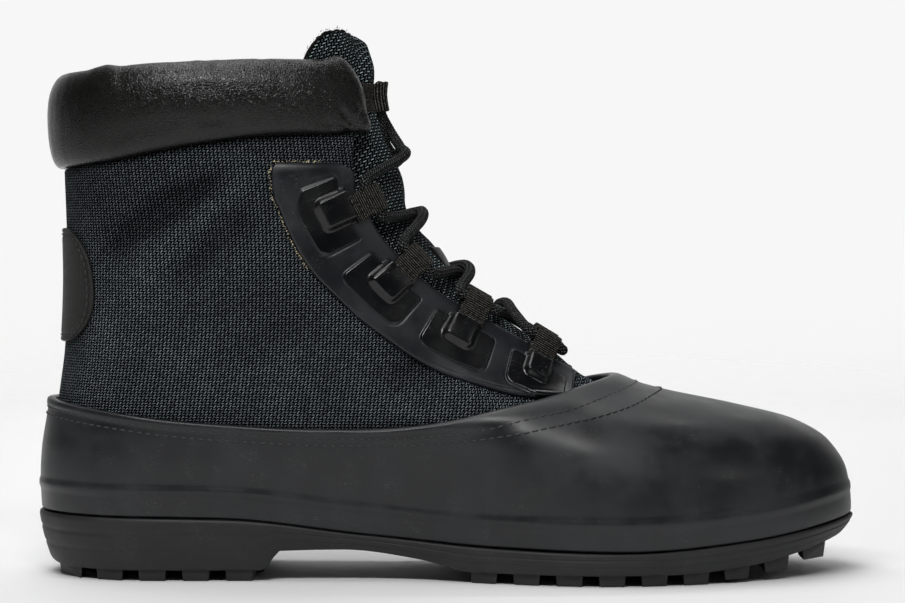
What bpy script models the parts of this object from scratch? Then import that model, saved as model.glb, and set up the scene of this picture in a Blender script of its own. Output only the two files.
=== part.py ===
# A right duck boot: woven nylon shaft with a padded leather collar and moulded rubber lace stays,
# over a rubber bottom with a lugged outsole. It stands on its sole, toe towards +X, outer side
# towards -Y. Tables are in millimetres, measured from the back of the heel and from the ground.

import math
from bisect import bisect_left
from collections import namedtuple
from functools import lru_cache

import bmesh
import bpy
from mathutils import Matrix, Vector

mm = 0.001

# Driving dimensions, in millimetres.
bootLength = 303
nylonWall = 2.0
tongueWall = 2.4
tongueTop = 200.5
tongueFoot = 66
tongueRise = 14.5
tongueFall = 25.5
tongueLean = 2.7
tongueGap = 1.0
collarPress = 3.9
rubberWall = 2.7
fitGap = 0.35
shellGap = 0.8
stayGap = 0.9
shellTop = 71.5
stayThickness = 1.1
padRise = 0.8
coverRise = 2.6
webbingWidth = 10
webbingThickness = 1.1
laceDiameter = 4.0
eyeReach = 3.9
eyeLift = 3.4
eyeRadius = laceDiameter / 2 + 0.5
toeSway = 7
ballSway = 1.8
archCut = 5
soleRim = 4.6
soleUndercut = 1.5
soleBulge = 0.8
lugDepth = 4
lugDraft = 0.6
insoleThickness = 4.5
insoleInset = 1.0
collarSwell = 5.0
patchGap = 0.55
patchThickness = 1.3
patchMiddle = 107
patchHalf = 21
keeperLevel = 176.5
keeperReach = 17
keeperThickness = 1.0

# The world's origin is under the middle of the boot, whose rubber reaches behind the last's heel.
heelOverhang = 1.6
originAlong = bootLength / 2 - heelOverhang

# How finely the pieces are divided.
columnsRound = 48
shaftColumns = 40
tongueColumns = 12
collarStations = 30
columnHalves = [2 * i / columnsRound for i in range(1, columnsRound // 2)]

# The last, level by level. height is above the ground, back and front are where the level ends.
# heelRound and noseRound are the lengths of its rounded ends. The three half widths stand at the
# heel, in the waist and at the ball, or on the shaft at its back, middle and front.
Level = namedtuple(
    "Level", "height back front heelRound noseRound heelHalf waistHalf ballHalf"
)
lastLevels = [
    Level(8, 5.5, 294, 40, 84, 32.0, 31.0, 49.0),
    Level(24, 2.0, 298, 42, 84, 34.5, 34.5, 51.0),
    Level(36, 1.5, 296.5, 42, 85, 35.5, 36.0, 50.5),
    Level(46, 2.0, 290.5, 42, 88, 36.0, 37.0, 48.0),
    Level(53, 3.0, 279, 42, 92, 36.0, 37.5, 45.0),
    Level(59, 4.0, 256, 43, 93, 36.0, 38.0, 42.0),
    Level(65, 4.8, 228, 44, 88, 36.0, 38.0, 38.5),
    Level(70, 5.5, 212, 44, 84, 36.0, 38.0, 37.0),
    Level(76, 6.3, 200.9, 45, 80.4, 36.0, 38.0, 36.0),
    Level(84, 7.2, 191.9, 46, 78.4, 36.0, 38.0, 35.5),
    Level(92, 7.8, 180.3, 47, 74.8, 36.0, 38.0, 35.5),
    Level(101, 8.2, 169.4, 48, 71.9, 36.0, 38.0, 35.5),
    Level(111, 8.4, 158.8, 49, 68.3, 36.5, 38.0, 36.0),
    Level(123, 8.2, 147.5, 50, 65, 37.0, 38.5, 36.5),
    Level(137, 7.8, 138.2, 50, 60.7, 38.0, 39.0, 37.5),
    Level(151, 7.2, 135.2, 50, 59.2, 39.0, 39.5, 38.0),
    Level(165, 6.6, 129.4, 50, 55.9, 39.5, 40.0, 38.5),
    Level(182, 6.0, 124.6, 49, 55.6, 40.0, 40.0, 38.5),
    Level(206, 6.0, 117.0, 47, 55, 40.0, 40.0, 38.5),
]

# Lines seen from the side, as distance from the heel and height.
Point = namedtuple("Point", "along height")
featherLine = [
    Point(0, 24), Point(70, 23), Point(120, 17.5), Point(165, 13.5),
    Point(215, 12.5), Point(260, 15.5), Point(303, 22),
]
treadLine = [
    Point(-4, 5.5), Point(6, 4), Point(82, 4), Point(88, 11), Point(112, 11.5), Point(140, 8),
    Point(158, 4), Point(232, 4), Point(262, 6.2), Point(303, 14.5),
]
shellLine = [
    Point(0, 66), Point(25, 62), Point(60, 58), Point(110, 56), Point(150, 58.5),
    Point(178, 63), Point(190, 66), Point(203, 69.5), Point(212, shellTop),
]
collarSeam = [Point(0, 149), Point(27, 152), Point(60, 158), Point(85, 161), Point(118, 162.5)]
collarTop = [Point(0, 187), Point(20, 188), Point(60, 190), Point(100, 191.5), Point(118, 190)]

# The throat's edge, from the collar's top down to where the shell covers it.
throatEdge = [
    Point(118.5, 192), Point(118.5, 178), Point(117.0, 165), Point(115.6, 152), Point(116.0, 143),
    Point(118.8, 136.6), Point(121.8, 130.3), Point(126.0, 124.0), Point(131.0, 118.3),
    Point(135.3, 113.5), Point(139.7, 109.4), Point(144.5, 105.6), Point(151.0, 101.3),
    Point(158.0, 97.0), Point(164.0, 93.7), Point(170.5, 90.0), Point(176.5, 86.5),
    Point(183.3, 82.4), Point(188.5, 79.3), Point(193.0, 76.7), Point(197.3, 74.3),
    Point(204.0, 71), Point(209.5, 68.5), Point(217.0, 66), Point(240.0, 58),
]

# How far back the tongue's side edges reach.
tongueSide = [
    Point(102, 203), Point(100.5, 192), Point(102, 175), Point(103, 160), Point(107, 143),
    Point(122, 118), Point(148, 96), Point(178, 78), Point(205, 66), Point(215, 58),
]

# Where the crossed lace presses the tongue in: how deep, and how far up and down.
Press = namedtuple("Press", "height depth reach")
lacePresses = [
    Press(175, 1.6, 6), Press(161.5, 5, 8), Press(133.5, 2.8, 5), Press(113, 2.8, 5), Press(99, 2.8, 5),
]

# The moulded lace stay, by the distance down the throat's edge from its top: how far it starts
# behind that edge, how wide it is, and how far below level its rows lean, in degrees.
StayRow = namedtuple("StayRow", "down inset width lean")
stayTop = 151.6
stayRows = [
    StayRow(0.0, 6.5, 20.0, 0), StayRow(0.7, 3.6, 25.0, 3), StayRow(1.8, 1.6, 27.6, 9),
    StayRow(3.2, 0.5, 29.0, 18), StayRow(5.1, 0, 28.7, 31), StayRow(15.6, 0, 28.0, 31),
    StayRow(26.1, 0, 27.0, 31), StayRow(33.8, 0, 26.0, 43), StayRow(44.3, 0, 24.2, 43),
    StayRow(54.8, 0, 24.0, 43), StayRow(62.2, 0, 24.5, 67), StayRow(72.7, 0, 22.8, 67),
    StayRow(83.2, 0, 22.0, 67), StayRow(91.3, 0, 20.8, 80), StayRow(101.8, 0, 17.6, 80),
    StayRow(112.3, 0, 9.5, 80), StayRow(117.0, 0, 5.0, 80),
]
loopDowns = [15.6, 44.3, 72.7, 101.8]
padHalf, padDepth = 10.0, 18.0
coverHalf, coverFront, coverBack = 5.4, 2.3, 13.0


def smoothCurve(xs, ys):
    # A curve through the points that never swings past them.
    step = [b - a for a, b in zip(xs, xs[1:])]
    slope = [(b - a) / s for a, b, s in zip(ys, ys[1:], step)]
    tangent = [slope[0]]
    for before, after in zip(slope, slope[1:]):
        tangent.append(2 / (1 / before + 1 / after) if before * after > 0 else 0)
    tangent.append(slope[-1])

    def at(x):
        i = min(max(bisect_left(xs, x) - 1, 0), len(step) - 1)
        u = min(max((x - xs[i]) / step[i], 0), 1)
        rise = ys[i] * (1 + 2 * u) * (1 - u) ** 2 + ys[i + 1] * u * u * (3 - 2 * u)
        return rise + step[i] * u * (1 - u) * (tangent[i] * (1 - u) - tangent[i + 1] * u)

    return at


def lineOf(points):
    return smoothCurve([p.along for p in points], [p.height for p in points])


levelCurves = [
    smoothCurve([row.height for row in lastLevels], [getattr(row, name) for row in lastLevels])
    for name in Level._fields[1:]
]
featherAt, treadAt, shellAt = lineOf(featherLine), lineOf(treadLine), lineOf(shellLine)
seamAt, collarTopAt = lineOf(collarSeam), lineOf(collarTop)
throatAt, tongueSideAt = (
    smoothCurve([p.height for p in reversed(edge)], [p.along for p in reversed(edge)])
    for edge in (throatEdge, tongueSide)
)
stayCurves = [
    smoothCurve([row.down for row in stayRows], [getattr(row, name) for row in stayRows])
    for name in StayRow._fields[1:]
]


@lru_cache(maxsize=None)
def levelAt(height):
    return Level(height, *(curve(height) for curve in levelCurves))


def ease(u):
    u = min(max(u, 0), 1)
    return u * u * (3 - 2 * u)


def halfWidth(along, height, inner):
    # Half the last's width at a point seen from the side.
    row = levelAt(height)
    heelX = row.back + row.heelRound
    ballX = row.front - row.noseRound
    middle = (heelX + ballX) / 2
    waist = row.waistHalf - inner * archCut * ease((95 - height) / 60)
    if along < middle:
        width = row.heelHalf + (waist - row.heelHalf) * ease((along - heelX) / (middle - heelX))
    else:
        width = waist + (row.ballHalf - waist) * ease((along - middle) / (ballX - middle))
    back = min(max((heelX - along) / row.heelRound, 0), 1)
    nose = min(max((along - ballX) / row.noseRound, 0), 1)
    return width * math.sqrt(max(1 - back**2.1, 0)) * math.sqrt(max(1 - nose**1.9, 0))


def centreLine(along, height):
    # The toe leans towards the inner side, and the ball stands out towards the outer side.
    sway = toeSway * ease((along - 170) / 140) - ballSway * ease(1 - abs(along - 205) / 80)
    return sway * ease((90 - height) / 40)


def bare(turn, height):
    # A point of the last. turn is 0 at the back, 1 at the front and 2 at the back again, and the
    # outer side comes first.
    turn %= 2
    inner = turn > 1
    half = 2 - turn if inner else turn
    row = levelAt(height)
    along = row.back + (row.front - row.back) * (1 - math.cos(math.pi * half)) / 2
    side = halfWidth(along, height, inner) * (1 if inner else -1)
    return Vector((along, side + centreLine(along, height), height))


def normalAt(turn, height):
    step = 0.004
    across = bare(turn + step, height) - bare(turn - step, height)
    up = bare(turn, height + 0.6) - bare(turn, height - 0.6)
    return across.cross(up).normalized()


def last(turn, height, offset=0.0):
    # A point of the last, moved out by offset along the surface normal.
    return bare(turn, height) + normalAt(turn, height) * offset


def turnAt(along, height, inner):
    # Where the last is this far from the heel.
    row = levelAt(height)
    share = min(max((along - row.back) / (row.front - row.back), 0), 1)
    half = math.acos(1 - 2 * share) / math.pi
    return 2 - half if inner else half


def onLast(along, height, inner, offset=0.0):
    return last(turnAt(along, height, inner), height, offset)


def heightOnLine(turn, line, low, high, offset=0.0):
    # The height at which this column of the last meets a line drawn from the side.
    for _ in range(24):
        middle = (low + high) / 2
        if middle < line(last(turn, middle, offset).x):
            low = middle
        else:
            high = middle
    return (low + high) / 2


@lru_cache(maxsize=None)
def throatTurn(height):
    return turnAt(throatAt(height), height, False)


def toWorld(point):
    return Vector((point.x - originAlong, point.y, point.z)) * mm


def material(name, colour, roughness):
    made = bpy.data.materials.new(name)
    made.use_nodes = True
    shader = made.node_tree.nodes["Principled BSDF"]
    shader.inputs["Base Color"].default_value = (*colour, 1)
    shader.inputs["Roughness"].default_value = roughness
    shader.inputs["Metallic"].default_value = 0
    made.diffuse_color = (*colour, 1)
    return made


def addObject(name, mesh, finish):
    made = bpy.data.objects.new(name, mesh)
    parts.objects.link(made)
    made.data.materials.append(finish)
    return made


def meshFrom(name, points, faces, solid=False):
    mesh = bpy.data.meshes.new(name)
    mesh.from_pydata([toWorld(p) for p in points], [], faces)
    work = bmesh.new()
    work.from_mesh(mesh)
    bmesh.ops.remove_doubles(work, verts=work.verts, dist=0.00001)
    bmesh.ops.dissolve_degenerate(work, edges=work.edges, dist=0.000001)
    if solid:
        bmesh.ops.recalc_face_normals(work, faces=work.faces)
    work.to_mesh(mesh)
    work.free()
    mesh.shade_smooth()
    mesh.set_sharp_from_angle(angle=math.radians(40))
    return mesh


def sheet(rows, closed=False):
    # Faces between rows of points, all of one length, with their outer side the same way as the
    # last's when a row goes round it and the rows go up.
    count = len(rows[0])
    points = [p for row in rows for p in row]
    faces = []
    for r in range(len(rows) - 1):
        for c in range(count if closed else count - 1):
            here, beside = r * count + c, r * count + (c + 1) % count
            faces.append((here, beside, beside + count, here + count))
    return points, faces


def solidify(made, thickness, side):
    wall = made.modifiers.new("wall", "SOLIDIFY")
    wall.thickness = thickness * mm
    wall.offset = side
    wall.use_even_offset = True
    wall.use_quality_normals = True
    return made


def loftSolid(sections):
    # A closed solid through sections, each a closed ring of the same number of points.
    points, faces = sheet(sections, closed=True)
    count = len(sections[0])
    faces.append(tuple(reversed(range(count))))
    end = (len(sections) - 1) * count
    faces.append(tuple(range(end, end + count)))
    return points, faces


def makeOutsole():
    sections = []
    for half in columnHalves:
        topOuter = last(half, featherAt(bare(half, 20).x), soleRim)
        topInner = last(2 - half, featherAt(bare(half, 20).x), soleRim)
        lowOuter = last(half, 10, soleRim - soleUndercut)
        lowInner = last(2 - half, 10, soleRim - soleUndercut)
        topOuter.z = topInner.z = featherAt(topOuter.x) - 0.5
        lowOuter.z = lowInner.z = treadAt(topOuter.x)
        waistOuter, waistInner = topOuter.lerp(lowOuter, 0.45), topInner.lerp(lowInner, 0.45)
        waistOuter.y += soleBulge
        waistInner.y -= soleBulge
        sections.append([topOuter, topInner, waistInner, lowInner, lowOuter, waistOuter])
    sole = addObject("outsole", meshFrom("outsole", *loftSolid(sections), True), soleRubber)
    lugs = bpy.data.objects.new("lugs", lugMesh())
    helpers.objects.link(lugs)
    lugs.hide_render = True
    lugs.display_type = "WIRE"
    joined = sole.modifiers.new("lugs", "BOOLEAN")
    joined.operation = "UNION"
    joined.object = lugs
    return sole


def lugMesh():
    # Rows of lugs, all down to the ground: a block along each edge and one in the middle.
    work = bmesh.new()
    heelRows = [(6 + 15.8 * i, 10.5) for i in range(5)]
    foreRows = [(158 + 15.2 * i, 10) for i in range(9)]
    for start, length in heelRows + foreRows:
        for side, forward in ((-1, 0), (1, 0), (0, 2.5)):
            corners = []
            for along in (start + forward, start + forward + length):
                reach = (halfWidth(along, 12, side > 0) + 1.5) * (side or 0.16)
                within = 0.42 * reach if side else -reach
                for deep, taper in ((0, lugDraft), (1, 0)):
                    ends = sorted((reach, within))
                    for y in (ends[0] + taper, ends[1] - taper):
                        inset = taper if along == start + forward else -taper
                        bottom = treadAt(start + length / 2) - lugDepth
                        height = bottom + deep * (lugDepth + 1.5)
                        corners.append(Vector((along + inset, y + centreLine(along, 12), height)))
            made = [work.verts.new(toWorld(corner)) for corner in corners]
            bmesh.ops.convex_hull(work, input=made)
    mesh = bpy.data.meshes.new("lugs")
    work.to_mesh(mesh)
    work.free()
    return mesh


def makeShell():
    # The rubber bottom: a wall from the sole's edge to the line where the shaft comes out.
    rises = [0, 0.13, 0.31, 0.48, 0.63, 0.76, 0.87, 0.95, 1]
    turns = [2 * i / columnsRound for i in range(columnsRound)]
    columns = []
    for turn in turns:
        low = heightOnLine(turn, featherAt, 8, 40, shellGap + rubberWall) + fitGap
        high = heightOnLine(turn, shellAt, 40, shellTop + 0.01)
        columns.append([last(turn, low + (high - low) * rise, shellGap) for rise in rises])
    rows = [list(row) for row in zip(*columns)]
    shell = addObject("rubber_shell", meshFrom("rubber_shell", *sheet(rows, True)), shellRubber)
    return solidify(shell, rubberWall, 1)


def shaftColumn(share, line, low, high):
    # The height at which a column of the shaft meets a line. share is 0 at the back and 1 or -1
    # at the throat's edges.
    height = (low + high) / 2
    for _ in range(5):
        height = heightOnLine(share * throatTurn(height), line, low, high)
    return height


def shaftFoot(along):
    # The shaft's bottom edge, tucked under the shell's top edge.
    return shellAt(along) - 9 + 6 * ease((along - 150) / 50)


def makeUpper():
    rises = [0, 0.07, 0.13, 0.2, 0.28, 0.37, 0.47, 0.58, 0.71, 0.85, 1]
    rows = [[] for _ in rises]
    for i in range(shaftColumns + 1):
        share = 2 * i / shaftColumns - 1
        low = shaftColumn(share, shaftFoot, 30, 70)
        high = shaftColumn(share, lambda along: seamAt(along) - fitGap, 140, 175)
        for row, rise in zip(rows, rises):
            height = low + (high - low) * rise
            row.append(last(share * throatTurn(height), height))
    upper = addObject("upper", meshFrom("upper", *sheet(rows)), nylon)
    return solidify(upper, nylonWall, -1)


def standsOut(across, height):
    # The tongue is pressed in under the lace, and its top leans out above it.
    pressed = sum(
        press.depth * math.exp(-(((height - press.height) / press.reach) ** 2)) for press in lacePresses
    )
    lean = tongueLean * ease((height - 177) / 13) * ease((26 - abs(across)) / 14)
    return lean - pressed * ease(1 - abs(across) / 20)


def makeTongue():
    middles = [66, 76, 88, 99, 106, 113, 120, 127, 133.5, 143, 153, 157.5, 162.5, 168, 176, 187, 200.5]
    rows = []
    for middle in middles:
        rise = (middle - tongueFoot) / (tongueTop - tongueFoot)
        row = []
        for i in range(tongueColumns + 1):
            across = 2 * i / tongueColumns - 1
            top = tongueTop + tongueRise * across**2 - tongueFall * across**4
            height = tongueFoot + (top - tongueFoot) * rise
            away = abs(across) * (1 - turnAt(tongueSideAt(height), height, False))
            behindEdge = (away - 1 + throatTurn(height)) / 0.06
            pressed = collarPress * ease((height - 138) / 10) * ease(behindEdge + 1.3)
            turn = 1 + math.copysign(away, across)
            bottom = bare(turn, height)
            offset = standsOut(bottom.y - centreLine(bottom.x, height), height) - pressed
            row.append(last(turn, height, offset - nylonWall - tongueGap))
        rows.append(row)
    tongue = addObject("tongue", meshFrom("tongue", *sheet(rows)), nylon)
    return solidify(tongue, tongueWall, -1)


def makeCollar():
    # A padded roll: its section bulges outwards and hangs over the shaft's top edge.
    sections = []
    for i in range(collarStations + 1):
        turn = (2 * i / collarStations - 1) * throatTurn(176)
        low = heightOnLine(turn, seamAt, 140, 175)
        high = heightOnLine(turn, collarTopAt, 175, 200)
        fromEnd = min(i, collarStations - i)
        fullness = min(1, 0.72 + 0.28 * fromEnd / 3)
        middle, reach = (low + high) / 2, (high - low) / 2
        section = []
        for corner in range(12):
            angle = 2 * math.pi * (corner + 0.5) / 12
            rise, swell = math.sin(angle), math.cos(angle)
            height = middle + reach * math.copysign(abs(rise) ** 0.7, rise)
            out = collarSwell * fullness * math.copysign(abs(swell) ** 0.8, swell)
            section.append(last(turn, height, out - 0.8))
        sections.append(section)
    points, faces = loftSolid(sections)
    return addObject("collar", meshFrom("collar", points, faces, True), collarLeather)


def makeInsole():
    sections = []
    for half in columnHalves:
        base = featherAt(bare(half, 20).x) + fitGap
        ring = []
        for height in (base + insoleThickness, base):
            outer, inner = last(half, height, -insoleInset), last(2 - half, height, -insoleInset)
            outer.z = inner.z = height
            ring += [outer, inner] if height > base else [inner, outer]
        sections.append(ring)
    return addObject("insole", meshFrom("insole", *loftSolid(sections), True), footbed)


@lru_cache(maxsize=None)
def edgeHeight(down):
    # The height of the throat's edge at a distance down it from the stay's top.
    height, run = stayTop, 0.0
    before = Vector((throatAt(height), height))
    while run < down:
        height -= 0.1
        after = Vector((throatAt(height), height))
        run += (after - before).length
        before = after
    return height


def stayPoint(down, away, inner, offset):
    # A point of the lace stay: down along the throat's edge, away from it across the stay.
    height = edgeHeight(down)
    lean = math.radians(stayCurves[2](down))
    along = throatAt(height) - away * math.cos(lean)
    return onLast(along, height - away * math.sin(lean), inner, offset)


def plateau(x, low, high, slope):
    # 1 between low and high, falling to 0 over slope on each side.
    return min(max(min((x - low), (high - x)) / slope + 1, 0), 1)


def makeStay(name, inner):
    downs = {row.down for row in stayRows[:5] + stayRows[-1:]}
    for centre in loopDowns:
        for away in (padHalf + 0.8, padHalf, coverHalf, coverHalf - 1.8):
            downs |= {round(centre - away, 2), round(centre + away, 2)}
    downs = sorted(down for down in downs if down <= stayRows[-1].down)
    stops = [0, coverFront, coverFront + 0.3, coverBack - 1.8, coverBack]
    stops += [padDepth, padDepth + 0.8, 24, 30]
    layers = ([], [])
    for number, stop in enumerate(reversed(stops)):
        rows = ([], [])
        for down in downs:
            inset, width = stayCurves[0](down), stayCurves[1](down)
            away = inset + min(stop * min(width / 27, 1), width * (1 if number == 0 else 0.97))
            rise = 0
            for centre in loopDowns:
                near = down - centre
                pad = plateau(near, -padHalf, padHalf, 0.8) * plateau(away, -1, padDepth, 0.8)
                cover = plateau(near, 1.8 - coverHalf, coverHalf - 1.8, 1.8)
                cover *= plateau(away, coverFront + 0.3, coverBack - 1.8, 1.8) * (away > coverFront)
                rise = max(rise, padRise * pad + coverRise * cover)
            rows[0].append(stayPoint(down, away, inner, stayGap))
            rows[1].append(stayPoint(down, away, inner, stayGap + stayThickness + rise))
        for layer, row in zip(layers, rows):
            layer.append(row)
    return addObject(name, meshFrom(name, *blockBetween(*layers), True), stayRubber)


def blockBetween(lower, upper):
    # A closed block between two sheets of the same layout, with walls round their edges.
    count, rowCount = len(lower[0]), len(lower)
    lowPoints, lowFaces = sheet(lower)
    points = lowPoints + [p for row in upper for p in row]
    shift = len(lowPoints)
    faces = [tuple(reversed(f)) for f in lowFaces]
    faces += [tuple(v + shift for v in f) for f in lowFaces]
    border = [(0, c) for c in range(count)]
    border += [(r, count - 1) for r in range(1, rowCount)]
    border += [(rowCount - 1, c) for c in range(count - 2, -1, -1)]
    border += [(r, 0) for r in range(rowCount - 2, 0, -1)]
    ring = [r * count + c for r, c in border]
    for here, after in zip(ring, ring[1:] + ring[:1]):
        faces.append((here, after, after + shift, here + shift))
    return points, faces


@lru_cache(maxsize=None)
def loopFrame(down, inner):
    # Where a loop leaves the throat edge, with the ways along the edge, across it and out.
    at = stayPoint(down, 0, inner, 0)
    along = (stayPoint(down + 4, 0, inner, 0) - stayPoint(down - 4, 0, inner, 0)).normalized()
    height = edgeHeight(down)
    out = normalAt(turnAt(throatAt(height), height, inner), height)
    out = (out - along * out.dot(along)).normalized()
    across = out.cross(along) if not inner else along.cross(out)
    return at, along, across, out


def eyeCentre(down, inner):
    at, along, across, out = loopFrame(down, inner)
    return at + across * eyeReach + out * eyeLift


def makeLoop(name, down, inner):
    # A strip of webbing folded round the lace, its two ends sewn together under the stay's cover.
    at, along, across, out = loopFrame(down, inner)
    root = stayGap + stayThickness + padRise + fitGap
    end, wrap = fitGap - coverFront, eyeRadius + webbingThickness
    outline = [(eyeReach - wrap, root), (end, root), (end, root + 2 * webbingThickness)]
    for i in range(9):
        angle = math.radians(115 - 230 * i / 8)
        outline.append((eyeReach + wrap * math.cos(angle), eyeLift + wrap * math.sin(angle)))
    hole = []
    for i in range(10):
        angle = -2 * math.pi * i / 10
        hole.append((eyeReach + eyeRadius * math.cos(angle), eyeLift + eyeRadius * math.sin(angle)))
    curve = bpy.data.curves.new(name, "CURVE")
    curve.dimensions = "2D"
    curve.fill_mode = "BOTH"
    curve.extrude = webbingWidth / 2 * mm
    for ring in (outline, hole):
        spline = curve.splines.new("POLY")
        spline.points.add(len(ring) - 1)
        spline.use_cyclic_u = True
        for point, (x, y) in zip(spline.points, ring):
            point.co = (x * mm, y * mm, 0, 1)
    made = addObject(name, curve, webbing)
    depth = across.cross(out)
    place = Matrix((across, out, depth)).transposed().to_4x4()
    place.translation = toWorld(at)
    made.matrix_world = place
    return made


def overTongue(across, height, lift):
    # A point above the tongue's face: across is sideways from the middle, in millimetres.
    wanted, low, high = abs(across), 0.5, 1.0
    for _ in range(30):
        middle = (low + high) / 2
        if abs(bare(middle, height).y - centreLine(bare(middle, height).x, height)) > wanted:
            low = middle
        else:
            high = middle
    turn = low if across < 0 else 2 - low
    return last(turn, height, lift - nylonWall - tongueGap + standsOut(across, height))


def passThrough(down, inner):
    # The lace where it runs through a loop, from the loop's top to its foot.
    centre = eyeCentre(down, inner)
    along = loopFrame(down, inner)[1]
    return [centre + along * step for step in (-7.4, 0, 7.4)]


def crossing(start, end, over):
    # The lace between two loops: level over the tongue, then down to the next loop.
    lifts = (5.6, 6.7, 5.6) if over else (3.0, 2.45, 3.0)
    heights = (start.z + 1.0, start.z + 1.4, start.lerp(end, 0.25).z)
    made = []
    for share, height, lift in zip((0.27, 0.5, 0.73), heights, lifts):
        made.append(overTongue(start.lerp(end, share).y, height, lift))
    return made


def strand(firstInner):
    # One half of the lace, from the keeper down to the lowest loop.
    side = 2.3 if not firstInner else -2.3
    over = not firstInner
    points = [overTongue(side, 178.2, 2.6), overTongue(side, 171.5, 2.6)]
    points.append(overTongue(side * 0.9, 164.5, 6.1 if over else 2.8))
    points.append(overTongue(side * -1.2, 158, 6.9 if over else 2.8))
    points.append(overTongue(-9 if over else 9, 154, 5.6 if over else 3.4))
    inner = firstInner
    for down in loopDowns:
        through = passThrough(down, inner)
        if down > loopDowns[0]:
            points += crossing(points[-1], through[0], not inner)
        points += through
        inner = not inner
    return points


def makeLace():
    one, other = strand(False), strand(True)
    foot = one[-1].lerp(other[-1], 0.5)
    bar = [overTongue(share * 7, foot.z + 1.5, 2.6) for share in (1, 0, -1)]
    top = [overTongue(-1.2, 180.6, 2.6), overTongue(1.2, 180.6, 2.6)]
    points = one + bar + list(reversed(other)) + top
    curve = bpy.data.curves.new("lace", "CURVE")
    curve.dimensions = "3D"
    curve.bevel_depth = laceDiameter / 2 * mm
    curve.bevel_resolution = 2
    spline = curve.splines.new("POLY")
    path = roundPath(points, 10)
    spline.points.add(len(path) - 1)
    spline.use_cyclic_u = True
    for point, place in zip(spline.points, path):
        point.co = (*toWorld(place), 1)
    return addObject("lace", curve, cord)


def roundPath(points, longest):
    # The given points of a closed curve, with one more on the smooth curve in each long span.
    path = []
    for i, point in enumerate(points):
        before, after = points[i - 1], points[(i + 1) % len(points)]
        beyond = points[(i + 2) % len(points)]
        path.append(point)
        if (after - point).length > longest:
            path.append((9 * (point + after) - before - beyond) / 16)
    return path


def makeKeeper():
    # A strip of webbing across the tongue that bridges the two runs of lace.
    rows = []
    for height in (keeperLevel - 5, keeperLevel - 1.7, keeperLevel + 1.7, keeperLevel + 5):
        row = []
        for i in range(11):
            across = keeperReach * (i / 5 - 1)
            lift = fitGap + (laceDiameter + 0.65) * ease((9.5 - abs(across)) / 5)
            row.append(overTongue(across, height, lift))
        rows.append(row)
    keeper = addObject("tongue_keeper", meshFrom("tongue_keeper", *sheet(rows)), webbing)
    return solidify(keeper, keeperThickness, 1)


def makeHeelPatch():
    # A rounded leather patch round the back of the shaft.
    rows = []
    for rise in (-1, -0.9, -0.6, -0.2, 0.2, 0.6, 0.9, 1):
        height = patchMiddle + patchHalf * rise
        reach = 0.073 + 0.116 * math.sqrt(max(1 - abs(rise) ** 2.5, 0))
        rows.append([last(reach * (i / 5 - 1), height, patchGap) for i in range(11)])
    patch = addObject("heel_patch", meshFrom("heel_patch", *sheet(rows)), patchLeather)
    return solidify(patch, patchThickness, 1)


for old in list(bpy.data.objects):
    bpy.data.objects.remove(old)
parts = bpy.data.collections.new("duck_boot")
helpers = bpy.data.collections.new("helpers")
bpy.context.scene.collection.children.link(parts)
bpy.context.scene.collection.children.link(helpers)

nylon = material("nylon", (0.018, 0.022, 0.024), 0.6)
collarLeather = material("collar_leather", (0.016, 0.014, 0.013), 0.42)
patchLeather = material("patch_leather", (0.018, 0.016, 0.015), 0.5)
stayRubber = material("stay_rubber", (0.012, 0.014, 0.018), 0.38)
shellRubber = material("shell_rubber", (0.016, 0.017, 0.019), 0.45)
soleRubber = material("sole_rubber", (0.014, 0.014, 0.015), 0.6)
webbing = material("webbing", (0.015, 0.014, 0.013), 0.75)
cord = material("cord", (0.008, 0.008, 0.009), 0.65)
footbed = material("footbed", (0.03, 0.03, 0.032), 0.8)

makeOutsole()
makeShell()
makeUpper()
makeCollar()
makeTongue()
makeInsole()
for side, inner in (("outer", False), ("inner", True)):
    makeStay("lace_stay_" + side, inner)
    for number, down in enumerate(loopDowns, 1):
        makeLoop(f"lace_loop_{side}_{number}", down, inner)
makeKeeper()
makeLace()
makeHeelPatch()
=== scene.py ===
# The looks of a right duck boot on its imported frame: woven nylon shaft, padded leather collar,
# moulded lace stays with webbing loops, braided lace, and a rubber bottom on a lugged sole.
# Toe towards +X, outer side towards -Y. Shapes are worked out in millimetres, from the back of
# the heel and from the ground, and put in the frame's metres as each mesh is made.
import math
from collections import namedtuple

import bmesh
import bpy
import numpy as np
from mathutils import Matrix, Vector


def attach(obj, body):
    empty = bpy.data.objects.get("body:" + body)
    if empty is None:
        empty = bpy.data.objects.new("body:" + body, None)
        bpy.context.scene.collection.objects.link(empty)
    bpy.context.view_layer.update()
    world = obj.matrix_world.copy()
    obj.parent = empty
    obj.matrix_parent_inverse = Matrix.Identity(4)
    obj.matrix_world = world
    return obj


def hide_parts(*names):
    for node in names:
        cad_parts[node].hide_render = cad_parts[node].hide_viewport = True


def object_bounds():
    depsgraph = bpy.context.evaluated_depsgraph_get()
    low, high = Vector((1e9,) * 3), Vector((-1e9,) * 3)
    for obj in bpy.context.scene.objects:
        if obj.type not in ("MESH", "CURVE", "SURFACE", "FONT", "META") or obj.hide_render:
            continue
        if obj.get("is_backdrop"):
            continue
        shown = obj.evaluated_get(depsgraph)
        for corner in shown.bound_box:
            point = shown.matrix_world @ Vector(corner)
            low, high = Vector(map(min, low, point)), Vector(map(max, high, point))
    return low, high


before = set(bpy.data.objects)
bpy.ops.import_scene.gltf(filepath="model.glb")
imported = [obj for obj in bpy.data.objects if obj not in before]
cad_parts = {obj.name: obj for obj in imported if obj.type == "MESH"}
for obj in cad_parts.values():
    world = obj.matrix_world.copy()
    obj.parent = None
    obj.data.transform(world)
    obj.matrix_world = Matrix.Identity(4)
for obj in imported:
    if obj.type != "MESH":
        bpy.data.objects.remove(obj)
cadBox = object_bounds()
mm = 0.001

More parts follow.
